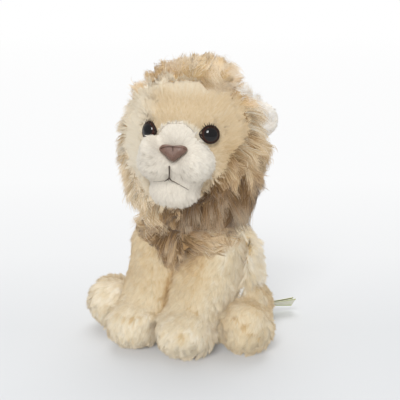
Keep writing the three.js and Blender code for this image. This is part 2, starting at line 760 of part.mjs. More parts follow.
const armSwing = sweep(armForm(5 * CLEARANCE), shoulderPivot, LIFT_AXIS, 0, FRONT_LEG.swingRange);
const torsoGroup = new THREE.Group();
torsoGroup.add(
  piece("torso_cover", cut(torsoOuter, torsoHollow), MATERIAL.tanPlush),
  piece("torso_stuffing", torsoFill, MATERIAL.stuffing),
  piece("pellet_bag", bagForm(0), MATERIAL.bagCloth),
  piece(
    "mane_bib",
    cut(bibForm(), solid(torsoForm(-CLEARANCE, FABRIC)), armSwing, mirrored(armSwing)),
    MATERIAL.manePlush,
  ),
);

// The limbs. The right ones are the left ones mirrored.

const inward = (pivot) => solid(rod(pivot, pivot.clone().setX(0), LIMB_OPENING, INSIDE.ball));
const frontCover = cut(
  cut(frontLegForm(0), below(0)),
  cut(frontLegForm(-FABRIC), below(FABRIC)),
  inward(shoulderPivot),
);
const frontFill = cut(frontLegForm(-FABRIC - CLEARANCE), below(FABRIC + CLEARANCE));

/** The hind leg with the dent that the front paw presses into it, whichever way it is splayed. */
function hindLegSkin(inset, room) {
  const dent = sweep(frontLegForm(room), hipCentre, UP, 0, -HIND_LEG.splayRange);
  return cut(hindLegForm(-inset), below(inset), dent);
}
const hindCover = cut(hindLegSkin(0, CLEARANCE), hindLegSkin(FABRIC, CLEARANCE + FABRIC), inward(hipCentre));
const hindFill = hindLegSkin(FABRIC + CLEARANCE, 2 * CLEARANCE + FABRIC);

const limbGroup = new THREE.Group();
for (const [name, side] of Object.entries(sides)) {
  const group = new THREE.Group();
  group.scale.x = side;
  group.add(
    piece(`front_leg_cover_${name}`, frontCover, MATERIAL.tanPlush),
    piece(`front_leg_stuffing_${name}`, frontFill, MATERIAL.stuffing),
    piece(`hind_leg_cover_${name}`, hindCover, MATERIAL.tanPlush),
    piece(`hind_leg_stuffing_${name}`, hindFill, MATERIAL.stuffing),
  );
  limbGroup.add(group);
}

// The tail, curled along the surface behind the lion's right side.

function tailPath() {
  const low = TAIL.radius - FLAT_CUT;
  const { x, y, z } = tailRoot;
  return new THREE.CatmullRomCurve3([
    vec(x, y, z),
    vec(x - TAIL.reach * 0.15, y + TAIL.reach * 0.5, low + (z - low) * 0.45),
    vec(x - TAIL.reach, y + TAIL.reach * 0.8, low),
    vec(x - TAIL.curl, y + TAIL.reach * 0.5, low),
  ]);
}

function tailForm(grow) {
  const path = tailPath();
  const radius = TAIL.radius;
  const stations = [0, 0.2, 0.4, 0.6, 0.8, 1].map((share) => {
    const { x, y, z } = path.getPoint(share);
    return { x, y, z, side: radius, front: radius };
  });
  const end = ball(radius + grow, radius + grow, radius + grow, path.getPoint(1), 12);
  return unite(solid(limb(stations, 0, grow, 12)), solid(end));
}

function tuftForm() {
  const path = tailPath();
  const along = path.getTangent(1).setZ(0).normalize();
  const across = along.clone().cross(UP);
  const steps = 9;
  const rings = Array.from({ length: steps + 1 }, (_, k) => {
    const share = k / steps;
    const bulk = Math.sin(Math.PI * Math.min(0.98, 0.16 + 0.84 * share) ** 0.8) ** 0.7;
    const radius = TAIL.tuftRadius * Math.max(0.12, bulk);
    const lock = (angle) => 1 + TAIL.lockDepth * share * Math.cos(TAIL.locks * angle);
    const centre = path.getPoint(1).addScaledVector(along, TAIL.tuftLength * (share - 0.12));
    centre.z = TAIL.tuftRadius - FLAT_CUT;
    return ring(centre, across, UP, radius, radius, 12, lock);
  });
  return solid(loft(rings));
}

const tailGroup = new THREE.Group();
tailGroup.add(
  piece("tail_cover", cut(tailForm(0), below(0)), MATERIAL.tanPlush),
  piece("tail_tuft", cut(tuftForm(), below(0), tailForm(CLEARANCE)), MATERIAL.manePlush),
);

// The care label: a bare ribbon folded double, sewn into the seam beside the tail.

function labelForm() {
  const outline = new THREE.Shape();
  const t = LABEL.thickness;
  const open = LABEL.fold;
  outline.moveTo(0, -t);
  outline.lineTo(LABEL.length, -t - open);
  outline.lineTo(LABEL.length, -open);
  outline.lineTo(t * 2, 0);
  outline.lineTo(LABEL.length * 0.92, open);
  outline.lineTo(LABEL.length * 0.92, open + t);
  outline.lineTo(0, t);
  return new THREE.ExtrudeGeometry(outline, { depth: LABEL.width, bevelEnabled: false })
    .translate(0, 0, -LABEL.width / 2)
    .rotateX(degToRad(90 - LABEL.tilt));
}

const labelGroup = new THREE.Group();
const heading = degToRad(LABEL.heading);
const back = torsoAt(LABEL.height);
const labelRoot = (() => {
  const reach = 1 / Math.hypot(Math.cos(heading) / back.halfWidth, Math.sin(heading) / back.halfDepth);
  return vec(Math.cos(heading) * reach, back.y + Math.sin(heading) * reach, LABEL.height);
})();
labelGroup.position.copy(labelRoot).add(vec(Math.cos(heading), Math.sin(heading), 0).multiplyScalar(LABEL.proud));
labelGroup.rotation.z = heading;
labelGroup.add(piece("care_label", solid(labelForm()), MATERIAL.ribbon));

const lion = new THREE.Group();
lion.add(torsoGroup, neckGroup, headGroup, limbGroup, tailGroup, labelGroup);

export default lion;
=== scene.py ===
"""A small seated plush lion with a shaggy mane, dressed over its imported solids.

Every stuffed form is a closed pad, with the torso and the legs filled by a short cloth
simulation, and carries pile: tapered strands that gather in tufts. Lengths in the classes
are millimetres, in the row frame: +Z is up, the lion looks along -Y and its own left is +X.
"""

import json
import logging
import math
from dataclasses import dataclass, field
from enum import Enum
from typing import Callable

import bmesh
import bpy
import numpy as np
from mathutils import Matrix, Vector, bvhtree, kdtree, noise

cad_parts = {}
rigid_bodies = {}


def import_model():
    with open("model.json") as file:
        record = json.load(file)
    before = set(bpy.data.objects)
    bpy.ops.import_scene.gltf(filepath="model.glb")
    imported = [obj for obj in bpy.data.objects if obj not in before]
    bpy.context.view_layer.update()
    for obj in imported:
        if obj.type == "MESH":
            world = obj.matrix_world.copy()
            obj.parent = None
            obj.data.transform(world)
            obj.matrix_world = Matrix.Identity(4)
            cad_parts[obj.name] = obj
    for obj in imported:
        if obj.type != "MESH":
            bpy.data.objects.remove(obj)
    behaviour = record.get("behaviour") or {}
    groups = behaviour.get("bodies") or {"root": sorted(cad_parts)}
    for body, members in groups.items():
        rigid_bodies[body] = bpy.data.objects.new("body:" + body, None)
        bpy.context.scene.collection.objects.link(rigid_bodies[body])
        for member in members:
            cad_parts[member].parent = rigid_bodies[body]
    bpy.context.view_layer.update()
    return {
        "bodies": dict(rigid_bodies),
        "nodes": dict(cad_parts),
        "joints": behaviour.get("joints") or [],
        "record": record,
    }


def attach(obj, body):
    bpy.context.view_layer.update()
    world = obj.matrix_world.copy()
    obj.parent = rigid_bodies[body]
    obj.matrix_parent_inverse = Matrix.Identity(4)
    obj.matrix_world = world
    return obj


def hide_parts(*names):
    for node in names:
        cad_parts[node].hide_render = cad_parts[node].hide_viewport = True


LOG = logging.getLogger("lion")
MM = 0.001
PILE_UV = "OFBake"
# From the nod's axis up to the skull's centre, and half the way between the eyes and their height over it.
NECK_LENGTH = 39.3
EYES_APART = 19.3
EYES_RISE = 12.0
# Triangles past which a coat is split into pieces.
STRAND_LIMIT = 196000
# The least height of a strand over its cloth.
CLOTH_GAP = 0.3
# A strand's half thickness, the least that its shading rises from its own plane, and how far it is turned
# about itself, in radians.
FIBRE_HALF = 0.02
FIBRE_RISE = 0.6
FIBRE_TWIST = 0.3

Points = np.ndarray
Field = Callable[["Roots"], np.ndarray]


class Body(str, Enum):
    """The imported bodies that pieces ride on."""

    TORSO = "torso"
    NECK = "neck"
    HEAD = "head"
    EAR_LEFT = "ear_left"
    EAR_RIGHT = "ear_right"
    FRONT_LEG_LEFT = "front_leg_left"
    FRONT_LEG_RIGHT = "front_leg_right"
    HIND_LEG_LEFT = "hind_leg_left"
    HIND_LEG_RIGHT = "hind_leg_right"
    TAIL = "tail"
    LABEL = "label"


class Slot(str, Enum):
    """The record's material slots, which the new pieces below name."""

    TAN = "tan_plush"
    CREAM = "cream_plush"
    MANE = "mane_plush"
    NOSE = "nose_leather"
    EYE = "eye_plastic"
    RIBBON = "ribbon"


class Side(Enum):
    """The lion's own left and right, as the sign of X."""

    LEFT = 1
    RIGHT = -1

    @property
    def word(self) -> str:
        """The side's name in lower case."""
        return self.name.lower()


def linear(hex_colour: str) -> tuple[float, float, float, float]:
    """Turns an sRGB hex colour into linear RGBA.

    Args:
        hex_colour: Six hex digits after a #.

    Returns:
        Red, green, blue and an alpha of 1.
    """
    parts = [int(hex_colour[i : i + 2], 16) / 255 for i in (1, 3, 5)]
    curve = [c / 12.92 if c <= 0.04045 else ((c + 0.055) / 1.055) ** 2.4 for c in parts]
    return (*curve, 1.0)


def unit(vectors: Points) -> Points:
    """Scales each row of an array to length 1."""
    length = np.linalg.norm(vectors, axis=-1, keepdims=True)
    return vectors / np.maximum(length, 1e-9)


def smooth_step(low: float, high: float, value: np.ndarray) -> np.ndarray:
    """Goes smoothly from 0 at low to 1 at high."""
    share = np.clip((value - low) / (high - low), 0, 1)
    return share * share * (3 - 2 * share)


def new_material(name: str) -> bpy.types.Material:
    """Makes an empty node material.

    Args:
        name: The finish's name.

    Returns:
        A material with no nodes in it.
    """
    material = bpy.data.materials.new(name)
    material.use_nodes = True
    material.node_tree.nodes.clear()
    return material


def add_node(
    material: bpy.types.Material, kind: str, settings: dict | None = None, inputs: dict | None = None
) -> bpy.types.Node:
    """Adds a node with its settings, values and links.

    Args:
        material: The material that gets it.
        kind: The node's type name after ShaderNode.
        settings: Properties of the node.
        inputs: A value or an output socket for each input, by its name or number.

    Returns:
        The new node.
    """
    node = material.node_tree.nodes.new("ShaderNode" + kind)
    for name, value in (settings or {}).items():
        setattr(node, name, value)
    for name, value in (inputs or {}).items():
        if isinstance(value, bpy.types.NodeSocket):
            material.node_tree.links.new(value, node.inputs[name])
        else:
            node.inputs[name].default_value = value
    return node


def with_surface(material: bpy.types.Material, inputs: dict) -> bpy.types.Material:
    """Ends a material in a surface.

    Args:
        material: The material.
        inputs: Values and output sockets for the principled shader, by input.

    Returns:
        The same material.
    """
    shader = add_node(material, "BsdfPrincipled", inputs=inputs)
    add_node(material, "OutputMaterial", inputs={"Surface": shader.outputs[0]})
    return material


def set_ramp(node: bpy.types.Node, stops: tuple[tuple[float, str], ...]) -> bpy.types.Node:
    """Writes a colour ramp's stops.

    Args:
        node: A colour ramp node.
        stops: Places from 0 to 1 with their hex colours.

    Returns:
        The same node.
    """
    ramp = node.color_ramp
    while len(ramp.elements) < len(stops):
        ramp.elements.new(1.0)
    for element, (place, colour) in zip(ramp.elements, stops):
        element.position = place
        element.color = linear(colour)
    return node


@dataclass(frozen=True)
class PileFinish:
    """Acrylic pile: dyed strands, soft and without gloss, painted darker down at their roots as a painted
    shade for the shade that falls among them.

    Attributes:
        name: The finish's name.
        slot: The record's slot it stands for; not used.
        tints: Colours by the strand's tint, from 0, dark, to 1, pale.
        root: How bright a strand is at its root, against 1 at its tip: the painted shade among the strands.
        tip: The colour that its tip is bleached to.
        tipped: How far the bleaching goes, 0 to 1.
    """

    name: str
    slot: Slot
    tints: tuple[tuple[float, str], ...]
    root: float = 0.6
    tip: str = "#FFFFFF"
    tipped: float = 0.0

    def material(self) -> bpy.types.Material:
        """Makes the material, whose colour follows the strand's own UV map."""
        made = new_material(self.name)
        uv = add_node(made, "UVMap", {"uv_map": PILE_UV})
        axes = add_node(made, "SeparateXYZ", inputs={0: uv.outputs[0]})
        tint = add_node(made, "ValToRGB", inputs={0: axes.outputs["X"]})
        set_ramp(tint, self.tints)
        # The strand's height darkens it down to the root value: painted shade among the strands.
        shade, bleach = (
            add_node(
                made, "MapRange", {"interpolation_type": "SMOOTHSTEP"},
                {"Value": axes.outputs["Y"], 1: low, 2: high, 3: first, 4: last}
            ).outputs["Result"] for low,
            high, first, last in ((0.0, 0.85, self.root, 1.0), (0.4, 1.0, 0.0, self.tipped))
        )
        dyed = {0: bleach, 6: tint.outputs["Color"], 7: linear(self.tip)}
        dyed = add_node(made, "Mix", {"data_type": "RGBA"}, dyed).outputs[2]
        colour = add_node(made, "VectorMath", {"operation": "SCALE"}, {0: dyed, "Scale": shade})
        soft = {"Roughness": 0.8, "Specular IOR Level": 0.2, "Sheen Weight": 0.2, "Sheen Roughness": 0.5}
        return with_surface(made, {"Base Color": colour.outputs[0], **soft})


@dataclass(frozen=True)
class GrainFinish:
    """A surface whose marks carry two colours and a fine relief.

    Attributes:
        name: The finish's name.
        first: The colour at the marks' low end.
        second: The colour at their high end.
        grain: The marks' size in millimetres.
        stops: Where the two colours stand on the marks, 0 to 1.
        detail: How much finer marks lie within them.
        relief: How strongly they show in the shading, and how deep they are in millimetres.
        roughness: 1 for fibre, less for leather and plastic.
        specular: The shine, 0.5 for a plain surface and less where fibres swallow it.
        stretch: How much longer the marks are along X than across.
        cells: Whether they are raised rounded cells, as leather has, and not clouds.
    """

    name: str
    first: str
    second: str
    grain: float
    stops: tuple[float, float] = (0.35, 0.65)
    detail: float = 4.0
    relief: tuple[float, float] = (0.4, 0.2)
    roughness: float = 1.0
    specular: float = 0.5
    stretch: float = 1.0
    cells: bool = False

    def material(self) -> bpy.types.Material:
        """Makes the material on object coordinates."""
        made = new_material(self.name)
        place = add_node(made, "TexCoord").outputs["Object"]
        drawn = add_node(made, "Mapping", inputs={"Vector": place, "Scale": (1 / self.stretch, 1.0, 1.0)})
        spread = {"Vector": drawn.outputs[0], "Scale": 1 / (self.grain * MM)}
        if self.cells:
            marks = add_node(made, "TexVoronoi", {"feature": "SMOOTH_F1"}, spread).outputs["Distance"]
        else:
            marks = add_node(made, "TexNoise", inputs={**spread, "Detail": self.detail}).outputs["Fac"]
        ramp = add_node(made, "ValToRGB", inputs={0: marks})
        colour = set_ramp(ramp, tuple(zip(self.stops, (self.first, self.second))))
        strength, depth = self.relief
        height = {"Strength": strength, "Distance": depth * MM, "Height": marks}
        bump = add_node(made, "Bump", {"invert": self.cells}, height)
        look = {"Roughness": self.roughness, "Specular IOR Level": self.specular}
        return with_surface(made, {"Base Color": colour.outputs["Color"], "Normal": bump.outputs[0], **look})


# Each pile's root value is the painted shade at its strands' roots.
TAN_PILE = PileFinish(
    "tan_short_pile", Slot.TAN,
    ((0.0, "#94713F"), (0.2, "#C2A276"), (0.35, "#CFB68D"), (0.65, "#DCCBAB"), (1.0, "#EEE5D3")), root=0.86
)
FACE_PILE = PileFinish(
    "tan_shorn_pile", Slot.TAN, ((0.0, "#BB9B6F"), (0.35, "#D3BC98"), (0.65, "#DFD1B8"), (1.0, "#E8DFCC")),
    root=0.9
)
CREAM_PILE = PileFinish(
    "cream_short_pile", Slot.CREAM,
    ((0.0, "#90887C"), (0.2, "#C4BAAA"), (0.5, "#D8CFC1"), (0.8, "#E6DECF"), (1.0, "#F6F2EA")), root=0.9
)
MANE_PILE = PileFinish(
    "brown_long_pile", Slot.MANE,
    ((0.0, "#5E4429"), (0.3, "#8F6D45"), (0.55, "#B8966A"), (0.8, "#D6BE99"), (1.0, "#F0E6D3")), root=0.5,
    tip="#E9DAC0", tipped=0.35
)
CREST_PILE = PileFinish(
    "golden_long_pile", Slot.MANE, ((0.0, "#A27A4C"), (0.4, "#C9A270"), (0.75, "#E2C597"), (1.0, "#F3E6CC")),
    root=0.76, tip="#F7F1E4", tipped=0.5
)
EAR_PILE = PileFinish(
    "near_white_ear_pile", Slot.CREAM,
    ((0.0, "#B79A72"), (0.3, "#D9C6A8"), (0.6, "#EEE5D6"), (1.0, "#FBF8F3")), root=0.8
)
# Knitted backing cloth with the feet of the pile on it: mottled and matt.
KNIT = dict(stops=(0.3, 0.75), detail=3.0, relief=(0.6, 0.4), roughness=0.95, specular=0.15)
TAN_BACKING = GrainFinish("tan_backing_cloth", "#BFA379", "#D2BC95", 1.4, **KNIT)
CREAM_BACKING = GrainFinish("cream_backing_cloth", "#CBBFAD", "#DBD2C4", 1.0, **KNIT)
MANE_BACKING = GrainFinish("brown_backing_cloth", "#8E6F4B", "#A98A62", 1.4, **KNIT)
CREST_BACKING = GrainFinish("golden_backing_cloth", "#C4A477", "#D6BB90", 1.4, **KNIT)
# Leather-like cloth with a soft shine and a fine grain, drawn coarse enough to show, paler on the raised tops
# of its grain and darker in the hollows between: a painted light and shade on the grain.
LEATHER = dict(stops=(0.2, 0.8), relief=(0.35, 0.15), roughness=0.42, cells=True)
NOSE_LEATHER = GrainFinish("brown_nose_leather", "#7B5F51", "#674C41", 0.7, **LEATHER)
# Twisted embroidery thread: matt, with faint plies that are too fine to be felt.
TWIST = dict(detail=1.0, relief=(0.0, 0.0), roughness=0.7, specular=0.3)
DARK_THREAD = GrainFinish("dark_brown_thread", "#241A17", "#3B2C26", 0.5, **TWIST)
MOUTH_THREAD = GrainFinish("grey_brown_thread", "#463C36", "#5E534B", 0.5, **TWIST)
LIP_THREAD = GrainFinish("pale_grey_brown_thread", "#75695E", "#8B8074", 0.5, **TWIST)
NOSE_THREAD = GrainFinish("nose_brown_thread", "#382721", "#4A352D", 0.5, **TWIST)
# Loose white fibre in drawn wisps, plain woven cotton, and moulded plastic with a dull shine.
FILLING = GrainFinish("polyester_fibre_filling", "#D9D8D2", "#F4F3EF", 1.2, stretch=3.0)
BAG_CLOTH = GrainFinish("white_cotton_bag_cloth", "#CFCBC0", "#E6E2D8", 0.5, roughness=0.9)
WASHER = GrainFinish("white_moulded_washer_plastic", "#E3E3E0", "#EFEFEC", 4.0, roughness=0.35)
INNER_PIECES = {
    FILLING: (
        *(f"{part}_stuffing" for part in ("torso", "neck", "head")),
        *(f"{pair}_leg_stuffing_{side.word}" for pair in ("front", "hind") for side in Side)
    ),
    BAG_CLOTH: ("pellet_bag",), WASHER: tuple(f"eye_washer_{side.word}" for side in Side)
}


@dataclass(frozen=True)
class EyePlastic:
    """Moulded acrylic: a black pupil in a dark red-brown iris, polished.

    Attributes:
        rings: Colours from the eye's middle, 0, to its edge, 1.
    """

    rings: tuple = (
        (0.0, "#0C0B0D"), (0.66, "#100D0E"), (0.82, "#20130F"), (0.93, "#4A281E"), (1.0, "#1C100D")
    )

    def material(self) -> bpy.types.Material:
        """Makes the material on the eye's own flat UV map."""
        made = new_material("polished_eye_acrylic")
        uv = add_node(made, "UVMap", {"uv_map": PILE_UV})
        middle = {0: uv.outputs[0], 1: (0.5, 0.5, 0.0)}
        middle = add_node(made, "VectorMath", {"operation": "DISTANCE"}, middle).outputs["Value"]
        outward = add_node(made, "Math", {"operation": "MULTIPLY"}, {0: middle, 1: 2.0}).outputs[0]
        colour = set_ramp(add_node(made, "ValToRGB", inputs={0: outward}), self.rings)
        return with_surface(made, {"Base Color": colour.outputs["Color"], "Roughness": 0.04, "IOR": 1.45})


@dataclass(frozen=True)
class RibbonFinish:
    """Woven satin ribbon: cream, with yellow-green selvedges and fine ribs across.

    Attributes:
        middle: Its colour.
        edge: The selvedges' colour.
        ribs: Ribs along its flat length.
    """

    middle: str = "#EDEBD6"
    edge: str = "#B9C463"
    ribs: float = 90.0

    def material(self) -> bpy.types.Material:
        """Makes the material on the ribbon's own UV map."""
        made = new_material("woven_satin_ribbon")
        uv = add_node(made, "UVMap", {"uv_map": PILE_UV})
        axes = add_node(made, "SeparateXYZ", inputs={0: uv.outputs[0]})
        off, rib = axes.outputs["Y"], axes.outputs["X"]
        for operation, value in (("SUBTRACT", 0.5), ("ABSOLUTE", 0.0)):
            off = add_node(made, "Math", {"operation": operation}, {0: off, 1: value}).outputs[0]
        for operation, value in (("MULTIPLY", self.ribs * 2 * math.pi), ("SINE", 0.0)):
            rib = add_node(made, "Math", {"operation": operation}, {0: rib, 1: value}).outputs[0]
        stops = ((0.34, self.middle), (0.38, self.edge), (0.47, self.edge), (0.5, self.middle))
        colour = set_ramp(add_node(made, "ValToRGB", inputs={0: off}), stops).outputs["Color"]
        bump = add_node(made, "Bump", inputs={"Strength": 0.3, "Distance": 0.05 * MM, "Height": rib})
        look = {"Roughness": 0.45, "Sheen Weight": 0.2, "Normal": bump.outputs["Normal"]}
        return with_surface(made, {"Base Color": colour, **look})


def deselect() -> None:
    """Clears the selection, which the frame's loading leaves full."""
    for obj in bpy.context.selected_objects:
        obj.select_set(False)


def activate(*objects: bpy.types.Object) -> None:
    """Selects these objects alone and makes the first one active."""
    deselect()
    for obj in objects:
        obj.select_set(True)
    bpy.context.view_layer.objects.active = objects[0]


def apply_modifier(obj: bpy.types.Object, kind: str, **settings: object) -> None:
    """Adds a modifier, sets it and applies it.

    Args:
        obj: The mesh object.
        kind: The modifier's type.
        settings: Its properties.
    """
    activate(obj)
    modifier = obj.modifiers.new(kind.lower(), kind)
    for name, value in settings.items():
        setattr(modifier, name, value)
    bpy.ops.object.modifier_apply(modifier=modifier.name)


def vertices(obj: bpy.types.Object) -> Points:
    """A mesh's vertices in millimetres."""
    flat = np.empty(len(obj.data.vertices) * 3, np.float32)
    obj.data.vertices.foreach_get("co", flat)
    return flat.reshape(-1, 3).astype(float) / MM


def set_vertices(obj: bpy.types.Object, points: Points) -> None:
    """Writes a mesh's vertices, given in millimetres."""
    obj.data.vertices.foreach_set("co", (points * MM).astype(np.float32).ravel())
    obj.data.update()


def vertex_normals(obj: bpy.types.Object) -> Points:
    """A mesh's vertex normals."""
    flat = np.empty(len(obj.data.vertices) * 3, np.float32)
    obj.data.vertex_normals.foreach_get("vector", flat)
    return flat.reshape(-1, 3).astype(float)


def triangles(obj: bpy.types.Object) -> np.ndarray:
    """The vertex numbers of a mesh's triangles."""
    obj.data.calc_loop_triangles()
    flat = np.empty(len(obj.data.loop_triangles) * 3, np.int32)
    obj.data.loop_triangles.foreach_get("vertices", flat)
    return flat.reshape(-1, 3)


def surface_tree(obj: bpy.types.Object) -> bvhtree.BVHTree:
    """A search tree of a mesh's surface, in millimetres."""
    points = [Vector(p) for p in vertices(obj)]
    return bvhtree.BVHTree.FromPolygons(points, triangles(obj).tolist())


def facing(normals: Points, side: Points) -> Points:
    """Turns normals that look away from their fibre's side just enough to it.

    Args:
        normals: Shading normals.
        side: The way that this side of the fibre faces.

    Returns:
        Shading normals that all lie on that side.
    """
    rise = (normals * side).sum(-1, keepdims=True)
    flat = unit(normals - side * rise)
    turned = flat * math.sqrt(1 - FIBRE_RISE**2) + side * FIBRE_RISE
    return np.where(rise < FIBRE_RISE, turned, normals)


def over_surface(tree: bvhtree.BVHTree, point: Points) -> tuple[Points, Points, float]:
    """The nearest place on a surface, its normal, and the point's height over it, negative inside."""
    place, normal, _, distance = tree.find_nearest(Vector(point))
    outside = (Vector(point) - place).dot(normal) > 0
    return np.array(place), np.array(normal), distance if outside else -distance


def room_above(tree: bvhtree.BVHTree, points: Points, normals: Points, limit: float) -> np.ndarray:
    """How far it is from points to a surface above them.

    Args:
        tree: The surface.
        points: Points in millimetres.
        normals: The way up from each.
        limit: The furthest that counts.

    Returns:
        Distances in millimetres, at most the limit.
    """
    room = np.full(len(points), limit)
    for i, (point, normal) in enumerate(zip(points, normals)):
        distance = tree.ray_cast(Vector(point), Vector(normal), limit)[3]
        if distance is not None:
            room[i] = distance
    return room


@dataclass(frozen=True)
class HeadFrame:
    """The head's own frame: the skull's centre, and the turn to the lion's left.

    Attributes:
        centre: The skull's centre in the row frame.
        turn: The turn in radians.
    """

    centre: Points
    turn: float

    @classmethod
    def from_joint(cls, joint: dict, neck_length: float) -> "HeadFrame":
        """Finds the frame from the joint that the head nods on.

        Args:
            joint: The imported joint, whose axis runs across the head.
            neck_length: From the joint up to the skull's centre.

        Returns:
            The head's frame.
        """
        pivot = np.array(joint["pos_m"]) / MM
        x, y, _ = joint["axis"]
        return cls(pivot + np.array([0, 0, neck_length]), math.atan2(y, x))

    @property
    def axes(self) -> np.ndarray:
        """The head's X, Y and Z as rows."""
        c, s = math.cos(self.turn), math.sin(self.turn)
        return np.array([[c, s, 0], [-s, c, 0], [0, 0, 1]])

    def inside(self, points: Points) -> Points:
        """Row frame points in the head's frame."""
        return (points - self.centre) @ self.axes.T

    def way(self, directions: Points) -> Points:
        """Directions of the head's frame in the row frame."""
        return directions @ self.axes

    def outside(self, points: Points) -> Points:
        """Points of the head's frame in the row frame."""
        return points @ self.axes + self.centre


@dataclass
class Pad:
    """A stuffed form, made from the solids that it stands for.

    Attributes:
        name: The piece's name.
        body: The body it rides on.
        slot: The record's slot it stands for; not used.
        covers: The nodes it replaces.
        filling: Nodes inside it, which close its hollow and stay under its surface.
        over: Nodes that it lies over without closing them in.
        cloth: Its backing cloth.
        voxel: The remesh's grid.
        ease: Rounds of smoothing.
        sink: How far its cloth lies under the solid's surface, to leave room for pile.
        fillet: How wide its inner corners are filled.
        form: A last change to its points, or none.
        swell: The most that the simulated filling may push it out, 0 for no simulation.
        fill: How tightly it is stuffed, 0 to 1; not used.
    """

    name: str
    body: Body
    slot: Slot
    covers: tuple[str, ...]
    filling: tuple[str, ...] = ()
    over: tuple[str, ...] = ()
    cloth: GrainFinish = TAN_BACKING
    voxel: float = 2.5
    ease: int = 10
    sink: float = 1.5
    fillet: float = 0.0
    form: Callable[[Points], Points] | None = None
    swell: float = 0.0
    fill: float = 0.7
    obj: bpy.types.Object = None
    tree: bvhtree.BVHTree = None

    def build(self, nodes: dict) -> None:
        """Args:
            nodes: The frame's CAD objects by name.
        """
        self.obj = self.joined(nodes)
        self.remesh()
        if self.swell:
            self.inflate()
        apply_modifier(self.obj, "SUBSURF", levels=1, render_levels=1)
        self.settle(nodes)
        self.obj.data.materials.clear()
        self.obj.data.materials.append(self.cloth.material())
        activate(self.obj)
        bpy.ops.object.shade_smooth()
        self.tree = surface_tree(self.obj)
        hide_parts(*self.covers)
        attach(self.obj, self.body.value)
        LOG.info("%s: %d faces", self.name, len(self.obj.data.polygons))

    def joined(self, nodes: dict) -> bpy.types.Object:
        """Copies of the nodes as one welded mesh.

        Args:
            nodes: The frame's CAD objects by name.

        Returns:
            The joined object at the origin.
        """
        copies = []
        for name in (*self.covers, *self.filling):
            copy = bpy.data.objects.new(self.name, nodes[name].data.copy())
            bpy.context.scene.collection.objects.link(copy)
            copies.append(copy)
        activate(*copies)
        if len(copies) > 1:
            bpy.ops.object.join()
        bpy.ops.object.mode_set(mode="EDIT")
        bpy.ops.mesh.select_all(action="SELECT")
        bpy.ops.mesh.remove_doubles(threshold=0.01 * MM)
        bpy.ops.object.mode_set(mode="OBJECT")
        made = bpy.context.view_layer.objects.active
        made.name = self.name
        return made

    def remesh(self) -> None:
        """Turns the joined solids into one even grid and rounds its edges off."""
        apply_modifier(self.obj, "REMESH", mode="VOXEL", voxel_size=self.voxel * MM, adaptivity=0.0)
        floor = vertices(self.obj)[:, 2].min()
        if self.fillet:
            set_vertices(self.obj, vertices(self.obj) + vertex_normals(self.obj) * self.fillet)
            apply_modifier(self.obj, "REMESH", mode="VOXEL", voxel_size=self.voxel * MM, adaptivity=0.0)
        apply_modifier(self.obj, "SMOOTH", factor=0.5, iterations=self.ease)
        points = vertices(self.obj)
        normals = vertex_normals(self.obj)
        middle = (points.min(0) + points.max(0)) / 2
        outer = smooth_step(-0.3, 0.3, (unit(points - middle) * normals).sum(1))
        points -= normals * (self.fillet + self.sink * outer)[:, None]
        if self.form:
            points = self.form(points)
        if floor < 1:
            # What rests on the floor keeps its flat underside, a little over it.
            points[:, 2] = np.maximum(points[:, 2], floor + 0.3)
        set_vertices(self.obj, points)

    def inflate(self) -> None:
        """Fills the pad by cloth simulation under pressure, with its movement capped."""
        scene = bpy.context.scene
        before = vertices(self.obj)
        cloth = self.obj.modifiers.new("filling", "CLOTH")
        plush = dict(tension_stiffness=12.0, compression_stiffness=12.0, bending_stiffness=0.4)
        for name, value in dict(use_pressure=True, uniform_pressure_force=4.0, **plush).items():
            setattr(cloth.settings, name, value)
        cloth.settings.effector_weights.gravity = 0.0
        cloth.collision_settings.use_collision = False
        frames = range(1, 21)
        cloth.point_cache.frame_start = frames[0]
        cloth.point_cache.frame_end = frames[-1]
        for frame in frames:
            scene.frame_set(frame)
        evaluated = self.obj.evaluated_get(bpy.context.evaluated_depsgraph_get())
        flat = np.empty(len(self.obj.data.vertices) * 3, np.float32)
        evaluated.data.vertices.foreach_get("co", flat)
        self.obj.modifiers.remove(cloth)
        scene.frame_set(1)
        push = flat.reshape(-1, 3) / MM - before
        length = np.linalg.norm(push, axis=1, keepdims=True)
        push *= np.minimum(1, self.swell / np.maximum(length, 1e-6))
        after = before + push
        after[:, 2] = np.maximum(after[:, 2], before[:, 2].min())
        set_vertices(self.obj, after)
        LOG.info("%s: filling pushed it out %.1f mm at most", self.name, float(length.max()))

    def settle(self, nodes: dict) -> None:
        """Keeps the cloth outside what lies in it.

        Args:
            nodes: The frame's CAD objects by name.
        """
        play, reach, give = 0.5, 4.5, 0.7
        for name in (*self.filling, *self.over):
            points = vertices(self.obj)
            tree = surface_tree(nodes[name])
            for i, point in enumerate(points):
                place, normal, height = over_surface(tree, point)
                if height < play:
                    points[i] = place + normal * play
            set_vertices(self.obj, points)
            for _ in range(3):
                tree = surface_tree(self.obj)
                for corner in vertices(nodes[name]):
                    place, normal, height = over_surface(tree, corner)
                    if -play / 2 < height < 2 * reach:
                        share = np.clip(1 - np.linalg.norm(points - place, axis=1) / reach, 0, 1)
                        points = share[:, None] * normal * (height + play) * give + points
                set_vertices(self.obj, points)


@dataclass(frozen=True)
class Roots:
    """Where strands leave a pad.

    Attributes:
        point: Places in millimetres, in the row frame.
        normal: The pad's outward normals there.
    """

    point: Points
    normal: Points


def plain(value: float) -> Field:
    """A field with one value everywhere."""
    return lambda roots: np.full(len(roots.point), value)


def towards(x: float, y: float, z: float) -> Field:
    """A field that points one way everywhere."""
    return lambda roots: np.tile(unit(np.array([[x, y, z]], float)), (len(roots.point), 1))


